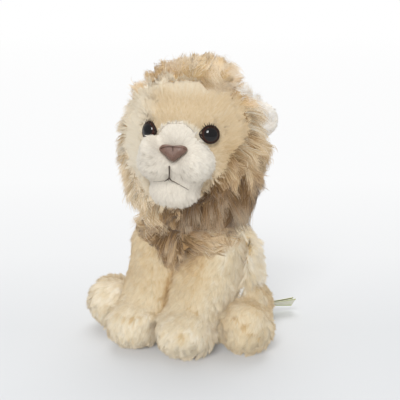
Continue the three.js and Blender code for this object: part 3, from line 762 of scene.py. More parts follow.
@dataclass
class Coat:
    """Pile on one pad: strands that follow a comb and gather in tufts.

    Attributes:
        name: The piece's name.
        finish: The pile's finish.
        density: Strands in a square millimetre.
        length: A full strand's length.
        comb: The way that strands are brushed.
        tint: Their place on the finish's tints, 0 dark to 1 pale.
        reach: Their share of the full length.
        cover: The share of roots that carry a strand.
        width: A strand's width at its root.
        stretches: Straight stretches in a strand.
        stand: How far it stands up from the cloth at its root, 0 flat to 1 upright.
        settle: The same at its tip.
        droop: How far its tip gives way to its weight.
        tuft: The spacing of tufts.
        gather: How far strands close up at a tuft's tip, 0 to 1.
        unruly: How far tufts stray from the comb.
        hug: The most that its tufts stand off the pad.
        free: How much further it may be at a tip, against hug.
        frizz: How far single strands stray from their tuft, against their length.
        relief: How far a strand's own side shades it, against the pad under it.
        ruffle: How unevenly strands shade.
        patch: How far whole tufts differ in tint.
        spare: The room that a root needs between its pad and another.
        seed: The seed of its random numbers.
    """

    name: str
    finish: PileFinish
    density: float
    length: float
    comb: Field
    tint: Field
    reach: Field = plain(1.0)
    cover: Field = plain(1.0)
    width: float = 0.55
    stretches: int = 3
    stand: float = 0.75
    settle: float = 0.3
    droop: float = 0.0
    tuft: float = 3.2
    gather: float = 0.5
    unruly: float = 0.3
    tint_spread: float = 0.12
    hug: float = 99.0
    free: float = 0.0
    frizz: float = 0.05
    relief: float = 0.25
    ruffle: float = 0.12
    patch: float = 0.0
    spare: float = 4.5
    seed: int = 1

    @property
    def thinned(self) -> float:
        return 1.0

    @property
    def faces_each(self) -> int:
        """Triangles in one strand, both sides counted."""
        return 2 * (2 * self.stretches - 1)

    def grow(self, pad: Pad, rivals: list[Pad]) -> None:
        """Grows the pile on a pad, where no other pad covers it.

        Args:
            pad: The pad that carries it.
            rivals: Pads that may cover it.
        """
        rng = np.random.default_rng(self.seed)
        roots = self.scatter(pad, rivals, rng)
        paths = self.shape(pad, roots, rng)
        count = len(paths)
        tint = self.tint(roots) + rng.normal(0, self.tint_spread, count)
        tint = np.clip(tint + self.patch * mottle(0.0, 1.6, self.tuft)(roots), 0.02, 0.98)
        pieces = max(1, math.ceil(count * self.faces_each / STRAND_LIMIT))
        for k in range(pieces):
            own = slice(k, None, pieces)
            name = self.name if pieces == 1 else f"{self.name}_{k + 1}"
            obj = self.mesh(name, paths[own], roots.normal[own], tint[own], rng)
            # Fine fibres let light through, so they don't shade each other; the shade among them is painted
            # into their finish as darker roots.
            obj.visible_shadow = False
            obj.visible_diffuse = False
            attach(obj, pad.body.value)
        LOG.info("%s: %d strands, %d triangles", self.name, count, count * self.faces_each)

    def scatter(self, pad: Pad, rivals: list[Pad], rng: np.random.Generator) -> Roots:
        """Picks roots evenly over the pad's open surface.

        Args:
            pad: The pad that carries the pile.
            rivals: Pads that may cover it.
            rng: The coat's random numbers.

        Returns:
            The roots.
        """
        points, normals, faces = vertices(pad.obj), vertex_normals(pad.obj), triangles(pad.obj)
        room = np.full(len(points), self.spare)
        for rival in rivals:
            room = np.minimum(room, room_above(rival.tree, points, normals, self.spare))
        corner = points[faces]
        area = np.linalg.norm(np.cross(corner[:, 1] - corner[:, 0], corner[:, 2] - corner[:, 0]), axis=1) / 2
        area[room[faces].max(1) < self.spare] = 0
        count = int(area.sum() * self.density * self.thinned)
        chosen = rng.choice(len(faces), count, p=area / area.sum())
        a, b = rng.random(count), rng.random(count)
        a, b = np.where(a + b > 1, 1 - a, a), np.where(a + b > 1, 1 - b, b)
        share = np.stack([1 - a - b, a, b], 1)[:, :, None]
        place = (corner[chosen] * share).sum(1)
        normal = unit((normals[faces[chosen]] * share).sum(1))
        free = (room[faces[chosen]] * share[:, :, 0]).sum(1)
        # The underside that rests on the floor stays bare.
        under = (normal[:, 2] < -0.8) & (place[:, 2] < 2.0)
        kept = rng.random(count) < self.cover(Roots(place, normal))
        open_air = (free >= self.spare) & ~under & kept
        return Roots(place[open_air], normal[open_air])

    def lead(self, pad: Pad, roots: Roots, rng: np.random.Generator) -> Points:
        """Lays the middle strand of each tuft, which keeps to the pad as it runs over it.

        Args:
            pad: The pad that carries the pile.
            roots: The tufts' roots.
            rng: The coat's random numbers.

        Returns:
            Points along each middle strand: tuft, station, axis.
        """
        count = len(roots.point)
        swirl = np.array([noise.noise_vector(Vector(p / (self.tuft * 3.5))) for p in roots.point])
        stray = (swirl + rng.normal(0, 0.35, (count, 3))) * self.unruly
        curl = rng.normal(0, 0.5, (count, 3)) * self.unruly
        size = np.clip(rng.normal(1, 0.13, count), 0.65, 1.3) * self.reach(roots)
        step = (self.length * size / self.stretches)[:, None]
        place, normal = roots.point, roots.normal
        stations = [place]
        for k in range(self.stretches):
            share = (k + 0.5) / self.stretches
            comb = unit(self.comb(Roots(place, normal)) + stray + curl * share)
            flat = unit(comb - normal * (comb * normal).sum(1, keepdims=True))
            rise = self.stand * (1 - share) + self.settle * share
            way = normal * rise + flat * (1 - rise) + np.array([0, 0, -self.droop * share])
            place, normal = self.keep_over(pad, place + unit(way) * step, self.hug * (1 + self.free * share))
            stations.append(place)
        return np.stack(stations, 1)

    def keep_over(self, pad: Pad, points: Points, limit: float) -> tuple[Points, Points]:
        """Keeps points outside the pad and no higher over it than the pile may stand.

        Args:
            pad: The pad that carries the pile.
            points: Points in millimetres.
            limit: The most that they may stand off it.

        Returns:
            The points, moved where they need it, and the pad's normals under them.
        """
        kept, normals = points.copy(), np.empty_like(points)
        for i, point in enumerate(points):
            place, normal, height = over_surface(pad.tree, point)
            normals[i] = normal
            if not CLOTH_GAP <= height <= limit:
                kept[i] = place + normal * min(max(height, CLOTH_GAP), limit)
        return kept, normals

    def shape(self, pad: Pad, roots: Roots, rng: np.random.Generator) -> Points:
        """Bends the strands as the nearest tuft's middle strand and gathers them to it.

        Args:
            pad: The pad that carries the pile.
            roots: Where they leave the pad.
            rng: The coat's random numbers.

        Returns:
            Points along each strand: strand, station, axis.
        """
        count = len(roots.point)
        tufts = max(8, int(count / (self.density * self.thinned * self.tuft**2)))
        picked = rng.choice(count, min(tufts, count), replace=False)
        middle = Roots(roots.point[picked], roots.normal[picked])
        lead = self.lead(pad, middle, rng)
        tree = kdtree.KDTree(len(picked))
        for i, point in enumerate(middle.point):
            tree.insert(Vector(point), i)
        tree.balance()
        own = np.array([tree.find(Vector(p))[1] for p in roots.point])
        steps = np.linspace(0, 1, self.stretches + 1)[None, :, None]
        ratio = self.reach(roots) / np.maximum(self.reach(middle), 0.05)[own] * rng.uniform(0.7, 1.08, count)
        paths = roots.point[:, None] + (lead[own] - lead[own, :1]) * ratio[:, None, None]
        spread = rng.normal(0, 1, (count, 1, 3)) * self.length * self.frizz
        paths += spread * steps**1.5
        paths += (lead[own] - paths) * self.gather * steps**1.3
        paths[:, :, 2] = np.maximum(paths[:, :, 2], 0.15)
        return paths

    def mesh(
        self, name: str, paths: Points, outward: Points, tint: np.ndarray, rng: np.random.Generator
    ) -> bpy.types.Object:
        """Turns strands into flat tapered fibres with a front and a back.

        Args:
            name: The piece's name.
            paths: Points along each strand.
            outward: The pad's normal at each root.
            tint: Each strand's tint.
            rng: The coat's random numbers.

        Returns:
            The mesh object, with the strand's tint and height in its UV map.
        """
        count, stations = paths.shape[:2]
        along = unit(np.gradient(paths, axis=1))
        normal = np.repeat(outward[:, None], stations, 1)
        across = unit(np.cross(along, normal))
        twist = rng.normal(0, FIBRE_TWIST, (count, 1, 1))
        across = across * np.cos(twist) + np.cross(along, across) * np.sin(twist)
        taper = np.linspace(1, 0, stations)[None, :, None] ** 0.6
        half = across * taper * self.width * rng.uniform(0.35, 0.65, (count, 1, 1))
        pairs = np.stack([paths[:, :-1] - half[:, :-1], paths[:, :-1] + half[:, :-1]], 2)
        points = np.concatenate([pairs.reshape(count, -1, 3), paths[:, -1:]], 1)
        thin = np.cross(across, along)
        thin = np.concatenate([np.repeat(thin[:, :-1], 2, axis=1), thin[:, -1:]], 1)
        points = np.concatenate([points + thin * FIBRE_HALF, points - thin * FIBRE_HALF], 1)
        face = unit(normal - along * (along * normal).sum(2, keepdims=True))
        shading = face * self.relief + normal * (1 - self.relief)
        shading = unit(shading + rng.normal(0, self.ruffle, (count, 1, 3)))
        shading = np.concatenate([np.repeat(shading[:, :-1], 2, axis=1), shading[:, -1:]], 1)
        shading = np.concatenate([facing(shading, thin), facing(shading, -thin)], 1)
        faces = []
        for k in range(stations - 2):
            a, b, c, d = 2 * k, 2 * k + 1, 2 * k + 3, 2 * k + 2
            faces += [[a, b, c], [a, c, d]]
        faces.append([2 * stations - 4, 2 * stations - 3, 2 * stations - 2])
        side = 2 * stations - 1
        faces += [[a + side, c + side, b + side] for a, b, c in list(faces)]
        index = np.arange(count)[:, None, None] * side * 2 + np.array(faces)[None]
        shift = np.array([-0.004, 0.004] * (stations - 1) + [0.0])
        height = np.append(np.repeat(np.linspace(0.02, 0.98, stations)[:-1], 2), 0.98)
        uv = np.stack([tint[:, None] + shift, np.tile(height, (count, 1))], 2)
        uv = np.concatenate([uv, uv], 1)
        return self.fibre_object(
            name, points.reshape(-1, 3), index.reshape(-1, 3), uv.reshape(-1, 2), shading
        )

    def fibre_object(
        self, name: str, points: Points, faces: np.ndarray, uv: np.ndarray, shading: Points
    ) -> bpy.types.Object:
        """Writes the fibres into a mesh.

        Args:
            name: The piece's name.
            points: Vertices in millimetres.
            faces: Triangles.
            uv: A UV for each vertex.
            shading: A normal for each vertex.

        Returns:
            The object.
        """
        mesh = bpy.data.meshes.new(name)
        mesh.vertices.add(len(points))
        mesh.vertices.foreach_set("co", (points * MM).astype(np.float32).ravel())
        mesh.loops.add(faces.size)
        mesh.loops.foreach_set("vertex_index", faces.astype(np.int32).ravel())
        mesh.polygons.add(len(faces))
        mesh.polygons.foreach_set("loop_start", np.arange(0, faces.size, 3, dtype=np.int32))
        mesh.polygons.foreach_set("use_smooth", np.ones(len(faces), bool))
        layer = mesh.uv_layers.new(name=PILE_UV)
        layer.uv.foreach_set("vector", uv[faces.ravel()].astype(np.float32).ravel())
        mesh.update(calc_edges=True)
        mesh.normals_split_custom_set_from_vertices(shading.reshape(-1, 3).astype(np.float32))
        mesh.materials.append(self.finish.material())
        obj = bpy.data.objects.new(name, mesh)
        bpy.context.scene.collection.objects.link(obj)
        return obj


@dataclass
class Photograph:
    """The camera that took the photograph, worked out from the paws' places on the floor.

    Attributes:
        azimuth: Degrees round to the lion's left.
        elevation: Degrees above level.
        distance: From the lens to the row's origin, along the view.
        scale: Pixels to a millimetre at that distance.
        origin: The pixel that the row's origin lands on.
        side: The frame's width and height in pixels.
        sensor: The film's width.
    """

    azimuth: float = 28.0
    elevation: float = 16.0
    distance: float = 800.0
    scale: float = 1.5
    origin: tuple[float, float] = (194.0, 327.0)
    side: float = 400.0
    sensor: float = 36.0

    @property
    def axes(self) -> tuple[Points, Points, Points]:
        """The view's right, up and back directions."""
        a, e = math.radians(self.azimuth), math.radians(self.elevation)
        right = np.array([math.cos(a), math.sin(a), 0])
        back = np.array([math.sin(a) * math.cos(e), -math.cos(a) * math.cos(e), math.sin(e)])
        return right, np.cross(back, right), back

    @property
    def lens_point(self) -> Points:
        """Where the lens stands."""
        right, up, back = self.axes
        across, down = (p - self.side / 2 for p in self.origin)
        return back * self.distance - right * across / self.scale + up * down / self.scale

    def ray(self, pixel: tuple[float, float]) -> Points:
        """The direction from the lens through a pixel."""
        right, up, back = self.axes
        focal = self.scale * self.distance
        across, down = (p - self.side / 2 for p in pixel)
        return unit(-back * focal + right * across - up * down)

    def land(self, tree: bvhtree.BVHTree, pixel: tuple[float, float]) -> tuple[Points, Points] | None:
        """Where a pixel's ray meets a pad.

        Args:
            tree: The pad's surface.
            pixel: The pixel, from the frame's top left.

        Returns:
            The place and the outward normal there, or None where it misses.
        """
        place, normal, _, _ = tree.ray_cast(Vector(self.lens_point), Vector(self.ray(pixel)))
        return None if place is None else (np.array(place), np.array(normal))

    def add_camera(self) -> None:
        """Puts the camera in the scene."""
        data = bpy.data.cameras.new("camera")
        data.sensor_width = self.sensor
        data.lens = self.sensor * self.scale * self.distance / self.side
        data.clip_end = 20.0
        camera = bpy.data.objects.new("camera", data)
        bpy.context.scene.collection.objects.link(camera)
        columns = [*self.axes, self.lens_point * MM]
        camera.matrix_world = Matrix(
            [[*(column[row] for column in columns)] for row in range(3)] + [[0, 0, 0, 1]]
        )
        bpy.context.scene.camera = camera


@dataclass
class Studio:
    """A pale sweep that whitens behind the toy, two wide soft lamps and an even sky.

    Attributes:
        floor_side: The floor's side in metres.
        sky: The world's strength.
        lamps: Each lamp's name, power in watts, side and place in metres, before the toy and above it.
    """

    floor_side: float = 14.0
    sky: float = 0.5
    lamps: tuple = (
        ("front_lamp", 22.0, 0.65, (0.36, -1.3, 1.35)), ("top_lamp", 13.0, 1.1, (-0.3, 0.75, 1.45))
    )

    def build(self, photograph: Photograph) -> None:
        """Makes the floor, the sky, the lamps and the camera.

        Args:
            photograph: The camera.
        """
        photograph.add_camera()
        world = bpy.data.worlds.new("studio")
        world.use_nodes = True
        bpy.context.scene.world = world
        world.node_tree.nodes["Background"].inputs["Color"].default_value = linear("#FFFFFF")
        world.node_tree.nodes["Background"].inputs["Strength"].default_value = self.sky
        for name, power, side, place in self.lamps:
            lamp = bpy.data.lights.new(name, "AREA")
            lamp.energy = power
            lamp.size = side
            holder = bpy.data.objects.new(name, lamp)
            holder.location = place
            aim = Vector((0, 0, 0.09)) - Vector(place)
            holder.rotation_euler = aim.to_track_quat("-Z", "Y").to_euler()
            bpy.context.scene.collection.objects.link(holder)
        bpy.context.scene.view_settings.view_transform = "Standard"
        self.lay_floor(photograph)

    def lay_floor(self, photograph: Photograph) -> None:
        """Lays a paper floor that fades to white with distance.

        Args:
            photograph: The camera, whose viewing direction the fade follows.
        """
        deselect()
        bpy.ops.mesh.primitive_grid_add(x_subdivisions=2, y_subdivisions=2, size=self.floor_side)
        floor = bpy.context.active_object
        floor.name = "floor"
        made = new_material("white_background_paper")
        place = add_node(made, "TexCoord")
        a = math.radians(photograph.azimuth)
        depth = add_node(
            made, "VectorMath", {"operation": "DOT_PRODUCT"},
            {0: place.outputs["Object"], 1: (-math.sin(a), math.cos(a), 0.0)}
        )
        fade = add_node(
            made, "MapRange", inputs={"Value": depth.outputs["Value"], 1: -0.15, 2: 1.35, 3: 0.0, 4: 1.0}
        )
        curve = set_ramp(
            add_node(made, "ValToRGB", inputs={0: fade.outputs["Result"]}),
            ((0.0, "#000000"), (0.1, "#505050"), (0.2, "#C0C0C0"), (0.35, "#EAEAEA"), (1.0, "#FFFFFF"))
        )
        paths = add_node(made, "LightPath")
        seen = paths.outputs["Is Camera Ray"]
        for operation, value in (
            ("MAXIMUM", paths.outputs["Is Glossy Ray"]), ("MAXIMUM", paths.outputs["Is Transmission Ray"]),
            ("MULTIPLY", curve.outputs["Color"])
        ):
            seen = add_node(made, "Math", {"operation": operation}, {0: seen, 1: value}).outputs[0]
        paper = add_node(
            made, "BsdfPrincipled",
            inputs={"Base Color": linear("#D0D2D4"), "Roughness": 0.9, "Specular IOR Level": 0.1}
        )
        white = add_node(made, "Emission", inputs={"Color": linear("#FFFFFF"), "Strength": 1.0})
        mixed = add_node(made, "MixShader", inputs={0: seen, 1: paper.outputs[0], 2: white.outputs[0]})
        add_node(made, "OutputMaterial", inputs={"Surface": mixed.outputs[0]})
        floor.data.materials.append(made)


@dataclass
class Workshop:
    """What every sub-assembly of the lion works with.

    Attributes:
        nodes: The frame's CAD objects by name.
        head: The head's own frame.
        photograph: The camera.
        pads: Finished pads by name, and the eyes' domes.
    """

    nodes: dict
    head: HeadFrame
    photograph: Photograph
    pads: dict[str, Pad] = field(default_factory=dict)

    def stuff(self, *pads: Pad) -> None:
        """Builds pads and keeps them."""
        for pad in pads:
            pad.build(self.nodes)
            self.pads[pad.name] = pad

    def dress(self, coat: Coat, pad: str, *rivals: str) -> None:
        """Grows a coat on a pad.

        Args:
            coat: The pile.
            pad: The pad's name.
            rivals: Names of pads that may cover it.
        """
        coat.grow(self.pads[pad], [self.pads[name] for name in rivals])

    def found(self, pad: str, *pixels: tuple[float, float]) -> list[tuple[Points, Points]]:
        """The places and normals where pixels of the photograph meet a pad."""
        hits = (self.photograph.land(self.pads[pad].tree, pixel) for pixel in pixels)
        return [hit for hit in hits if hit]

    def marked(self, pad: str, tint: Field, depth: float, wide: float, *pixels: tuple[float, float]) -> Field:
        """A tint that is darker at marks of the photograph.

        Args:
            pad: The pad's name.
            tint: The tint elsewhere.
            depth: How much darker a mark is.
            wide: A mark's radius in millimetres.
            pixels: The marks.

        Returns:
            The tint.
        """
        spots = np.array([place for place, _ in self.found(pad, *pixels)])

        def marked(roots: Roots) -> np.ndarray:
            """Takes the marks off the tint."""
            near = np.linalg.norm(roots.point[:, None] - spots[None], axis=2).min(1)
            return tint(roots) - depth * smooth_step(wide * 1.5, wide * 0.5, near)

        return marked

    def of_head(self, rule: Callable[[Points], Points]) -> Field:
        """A comb written in the head's frame.

        Args:
            rule: Directions for points, both in the head's frame.

        Returns:
            The comb in the row frame.
        """
        return lambda roots: self.head.way(rule(self.head.inside(roots.point)))

    def at_head(self, rule: Callable[[Points], np.ndarray]) -> Field:
        """A plain value at each root, written in the head's frame."""
        return lambda roots: rule(self.head.inside(roots.point))


def along(*path: tuple[float, float, float]) -> Field:
    """A comb that follows a line of points.

    Args:
        path: The points in millimetres.

    Returns:
        The comb, which turns smoothly from stretch to stretch.
    """
    points = np.array(path, float)
    starts, ways = points[:-1], np.diff(points, axis=0)

    def comb(roots: Roots) -> Points:
        """Weighs each stretch's direction by its nearness."""
        gap = roots.point[:, None] - starts[None]
        share = np.clip((gap * ways).sum(2) / (ways**2).sum(1), 0, 1)
        near = np.linalg.norm(gap - share[..., None] * ways, axis=2)
        weight = 1 / (near + 1) ** 3
        return unit((weight[..., None] * unit(ways)).sum(1))

    return comb


def mottle(middle: float, spread: float, grain: float) -> Field:
    """A tint that wanders over the surface.

    Args:
        middle: Its middle value.
        spread: How far it strays.
        grain: The size of its patches in millimetres.
    """
    return lambda roots: middle + spread * np.array([noise.noise(Vector(p / grain)) for p in roots.point])


# Short pile on the torso and the legs: brushed down, a little rough, in small tufts.
BODY_PILE = dict(
    width=0.5, stretches=1, stand=0.41, settle=0.22, tuft=2.8, gather=0.32, frizz=0.1, unruly=0.5,
    tint_spread=0.055, patch=0.13, relief=0.45, ruffle=0.16, hug=4.4, spare=1.2
)


@dataclass
class Trunk:
    """The torso, the bib of mane on its chest, and the neck.

    Attributes:
        pile: The body's pile height along the strand.
        bib_lock: The length of the bib's locks.
    """

    pile: float = 6.4
    bib_lock: float = 19.0

    def stuff(self, shop: Workshop) -> None:
        """Makes the pads."""
        shop.stuff(
            Pad(
                "torso_pad", Body.TORSO, Slot.TAN, ("torso_cover",), ("torso_stuffing",), sink=2.0, swell=1.5
            ),
            Pad("bib_pad", Body.TORSO, Slot.MANE, ("mane_bib",), cloth=MANE_BACKING, voxel=1.8, ease=6),
            Pad("neck_pad", Body.NECK, Slot.TAN, ("neck_cover",), ("neck_stuffing",), sink=1.0)
        )

    def dress(self, shop: Workshop) -> None:
        """Grows the pile."""

        middle = np.array([0, -22, 74])

        def from_middle(roots: Roots) -> np.ndarray:
            """How far roots lie from the bib's middle, seen from the front."""
            return np.linalg.norm((roots.point - middle) * [1, 0, 1], axis=1)

        def swept(roots: Roots) -> Points:
            """Down, and out over the bib's own edge."""
            out = unit((roots.point - middle) * [1, 0, 1]) * smooth_step(4, 14, from_middle(roots))[:, None]
            return unit(out * [1.3, 0, 0.5] + [0.05, -0.15, -0.7])

        limbs = ("front_leg_pad_left", "front_leg_pad_right", "hind_leg_pad_left", "hind_leg_pad_right")
        shop.dress(
            Coat(
                "torso_pile", TAN_PILE, 4.4, self.pile, towards(0, 0.1, -1),
                lambda roots: mottle(0.47, 0.2, 8.0)(roots) + 0.31 * smooth_step(14, 40, roots.point[:, 0]),
                **BODY_PILE, seed=11
            ),
            "torso_pad", *limbs, "bib_pad", "neck_pad"
        )
        shop.dress(
            Coat(
                "neck_locks", MANE_PILE, 3.6, 18.0, towards(0, -0.1, -1), mottle(0.42, 0.4, 5.0), stretches=3,
                stand=0.5, settle=0.2, gather=0.6, unruly=0.8, hug=9.0, seed=13
            ),
            "neck_pad"
        )
        shop.dress(
            Coat(
                "bib_locks", MANE_PILE, 5.0, self.bib_lock, swept,
                lambda roots: mottle(0.32, 0.36, 4.0)(roots) + 0.3 * smooth_step(9, 19, from_middle(roots)),
                mottle(1.0, 0.7, 3.5), width=0.45, stretches=4, stand=0.4, settle=0.1, droop=0.2, tuft=3.4,
                gather=0.45, frizz=0.08, unruly=0.9, hug=6.0, spare=1.5, seed=12
            ),
            "bib_pad"
        )


@dataclass
class Leg:
    """A stuffed leg, with pile that is brushed down it.

    Attributes:
        side: Which of the two.
        pair: Front or hind.
        pile: The pile's length.
        line: The limb's middle line, for the left leg.
        spot: The radius of a mark on it.
        seed: The seed of its pile, moved by its side.
    """

    side: Side
    pair: str
    pile: float
    line: tuple[tuple[float, float, float], ...]
    spot: float
    seed: int

    @property
    def marks(self) -> tuple[tuple[float, float], ...]:
        """Pixels of the photograph where the pile is darkened: a painted shade in the folds between the toes,
        and a few darker spots.
        """
        raise NotImplementedError

    @property
    def neighbours(self) -> tuple[str, ...]:
        """Pads of other legs that it lies against."""
        raise NotImplementedError

    def shaped(self, points: Points) -> Points:
        """A last change to the pad's points, none unless a kind of leg has one."""
        return points

    def tone(self, roots: Roots) -> np.ndarray:
        """The pile's tint."""
        raise NotImplementedError

    def stuff(self, shop: Workshop) -> None:
        """Makes the pad."""
        leg, word = f"{self.pair}_leg", self.side.word
        cover, filling = (f"{leg}_cover_{word}",), (f"{leg}_stuffing_{word}",)
        size = dict(voxel=1.8, sink=1.6, fillet=3.0, swell=1.2)
        shop.stuff(
            Pad(
                f"{leg}_pad_{word}", Body(f"{leg}_{word}"), Slot.TAN, cover, filling, form=self.shaped, **size
            )
        )

    def dress(self, shop: Workshop) -> None:
        """Grows the pile."""
        leg, word = f"{self.pair}_leg", self.side.word
        pad = f"{leg}_pad_{word}"
        comb = along(*((x * self.side.value, y, z) for x, y, z in self.line))
        # The marks darken the pile, a painted shade in the toes' folds.
        tint = shop.marked(pad, self.tone, 0.3, self.spot, *self.marks)
        seed = self.seed + self.side.value
        coat = Coat(f"{leg}_pile_{word}", TAN_PILE, 8.0, self.pile, comb, tint, **BODY_PILE, seed=seed)
        shop.dress(coat, pad, "torso_pad", *self.neighbours)


@dataclass
class FrontLeg(Leg):
    """A front leg that reaches down and forward to a big soft paw.

    Attributes:
        close: How far its inner side is stuffed out to meet the other leg.
    """

    pair: str = "front"
    pile: float = 5.8
    line: tuple = ((24, -8, 62), (21.8, -16, 45), (19.5, -32, 26), (18.5, -42, 17), (18, -60, 4))
    spot: float = 1.6
    seed: int = 20
    close: float = 6.0

    @property
    def marks(self) -> tuple[tuple[float, float], ...]:
        """The left paw has more marks, as more of it shows."""
        if self.side is Side.LEFT:
            return (
                182, 336
            ), (185, 339), (183, 333), (190, 306), (194, 309), (198, 311), (207, 336), (150, 332)
        return (120, 312), (126, 316), (133, 318), (140, 315), (131, 334)

    @property
    def neighbours(self) -> tuple[str, ...]:
        """The hind leg on its side, and the other front leg."""
        others = (f"front_leg_pad_{s.word}" for s in Side if s is not self.side)
        return f"hind_leg_pad_{self.side.word}", *others

    def shaped(self, points: Points) -> Points:
        """Stuffs the inner side out above the wrist, as far as the middle plane."""
        s = self.side.value
        x, y, z = points[:, 0] * s, points[:, 1], points[:, 2]
        share = smooth_step(18, 26, z) * smooth_step(60, 50, z) * smooth_step(-8, -16, y)
        moved = x - self.close * share * smooth_step(19, 8, x)
        points[:, 0] = s * np.where(share > 0, np.maximum(moved, 0.6), x)
        return points

    def tone(self, roots: Roots) -> np.ndarray:
        """Pale on the paw and at the flank, warmer up the leg, and dark in the crease where the legs meet, a
        painted shade.
        """
        x, _, z = roots.point.T
        # Painted shade in the crease between the front legs.
        crease = smooth_step(5.0, 1.0, abs(x)) * smooth_step(22, 28, z)
        flank = 0.2 * smooth_step(20, 31, x) * smooth_step(24, 40, z)
        shoulder = 0.24 * smooth_step(44, 60, z) * smooth_step(30, 16, x) * (self.side is Side.LEFT)
        return 0.76 - 0.3 * smooth_step(18, 45, z) - 0.38 * crease + flank - shoulder


@dataclass
class HindLeg(Leg):
    """A hind leg that turns out to a round upright foot."""

    pair: str = "hind"
    pile: float = 5.6
    line: tuple = ((34, 14, 22), (40, -2, 20), (47, -18, 20), (49, -30, 8))
    spot: float = 1.4
    seed: int = 30

    @property
    def marks(self) -> tuple[tuple[float, float], ...]:
        """All but the last lie on the left foot."""
        left = (235, 316), (238, 320), (241, 323), (245, 323), (248, 322), (251, 330), (255, 332), (260, 334)
        return *left, (96, 290)

    @property
    def neighbours(self) -> tuple[str, ...]:
        """The front leg on its side."""
        return (f"front_leg_pad_{self.side.word}",)

    def tone(self, roots: Roots) -> np.ndarray:
        """Mottled, and paler on the right, a painted light on the side that the light falls on."""
        return mottle(0.58 if self.side is Side.LEFT else 0.76, 0.12, 8.0)(roots)


@dataclass
class Tail:
    """The tail and its tuft, lying on the floor.

    Attributes:
        line: The tail's middle line, from its root.
    """

    line: tuple = ((0, 45, 14), (-3, 54, 9), (-17, 59, 5), (-44, 54, 5), (-66, 50, 6))

    def stuff(self, shop: Workshop) -> None:
        """Makes the pads."""
        tuft = dict(cloth=MANE_BACKING, voxel=1.5, ease=4, sink=2.0)
        shop.stuff(
            Pad("tail_pad", Body.TAIL, Slot.TAN, ("tail_cover",), voxel=1.3, ease=4, sink=1.2),
            Pad("tuft_pad", Body.TAIL, Slot.MANE, ("tail_tuft",), **tuft)
        )

    def dress(self, shop: Workshop) -> None:
        """Grows the pile."""
        comb = along(*self.line)
        shop.dress(
            Coat("tail_pile", TAN_PILE, 4.0, 5.0, comb, mottle(0.5, 0.2, 8.0), stand=0.4, seed=41),
            "tail_pad", "torso_pad", "tuft_pad"
        )
        shop.dress(
            Coat(
                "tuft_locks", MANE_PILE, 7.0, 12.0, comb, mottle(0.55, 0.35, 4.0), stretches=4, stand=0.35,
                settle=0.15, gather=0.35, frizz=0.09, unruly=0.5, seed=42
            ),
            "tuft_pad", "tail_pad"
        )


def aside(p: Points) -> Points:
    """The way from the head's middle axis out to points of its frame."""
    return unit(p * [1, 0, 1])


def out_on_face(p: Points) -> np.ndarray:
    """How far out points of the head's frame lie on the face, 1 about where it meets the mane."""
    return np.hypot(p[:, 0] / 36, (p[:, 2] - 2) / 37)


def beyond_face(p: Points) -> np.ndarray:
    """How far points of the head's frame lie beyond the face's short pile, as a share of its radius.

    The mane falls over the left cheek, so the pile ends sooner there.
    """
    limit = 1.03 + 0.05 * smooth_step(0, -25, p[:, 0])
    limit -= 0.25 * smooth_step(14, -4, p[:, 2]) * smooth_step(0, 20, p[:, 0])
    return np.hypot(p[:, 0] / 37.5, (p[:, 2] - 4) / 38.5) - limit


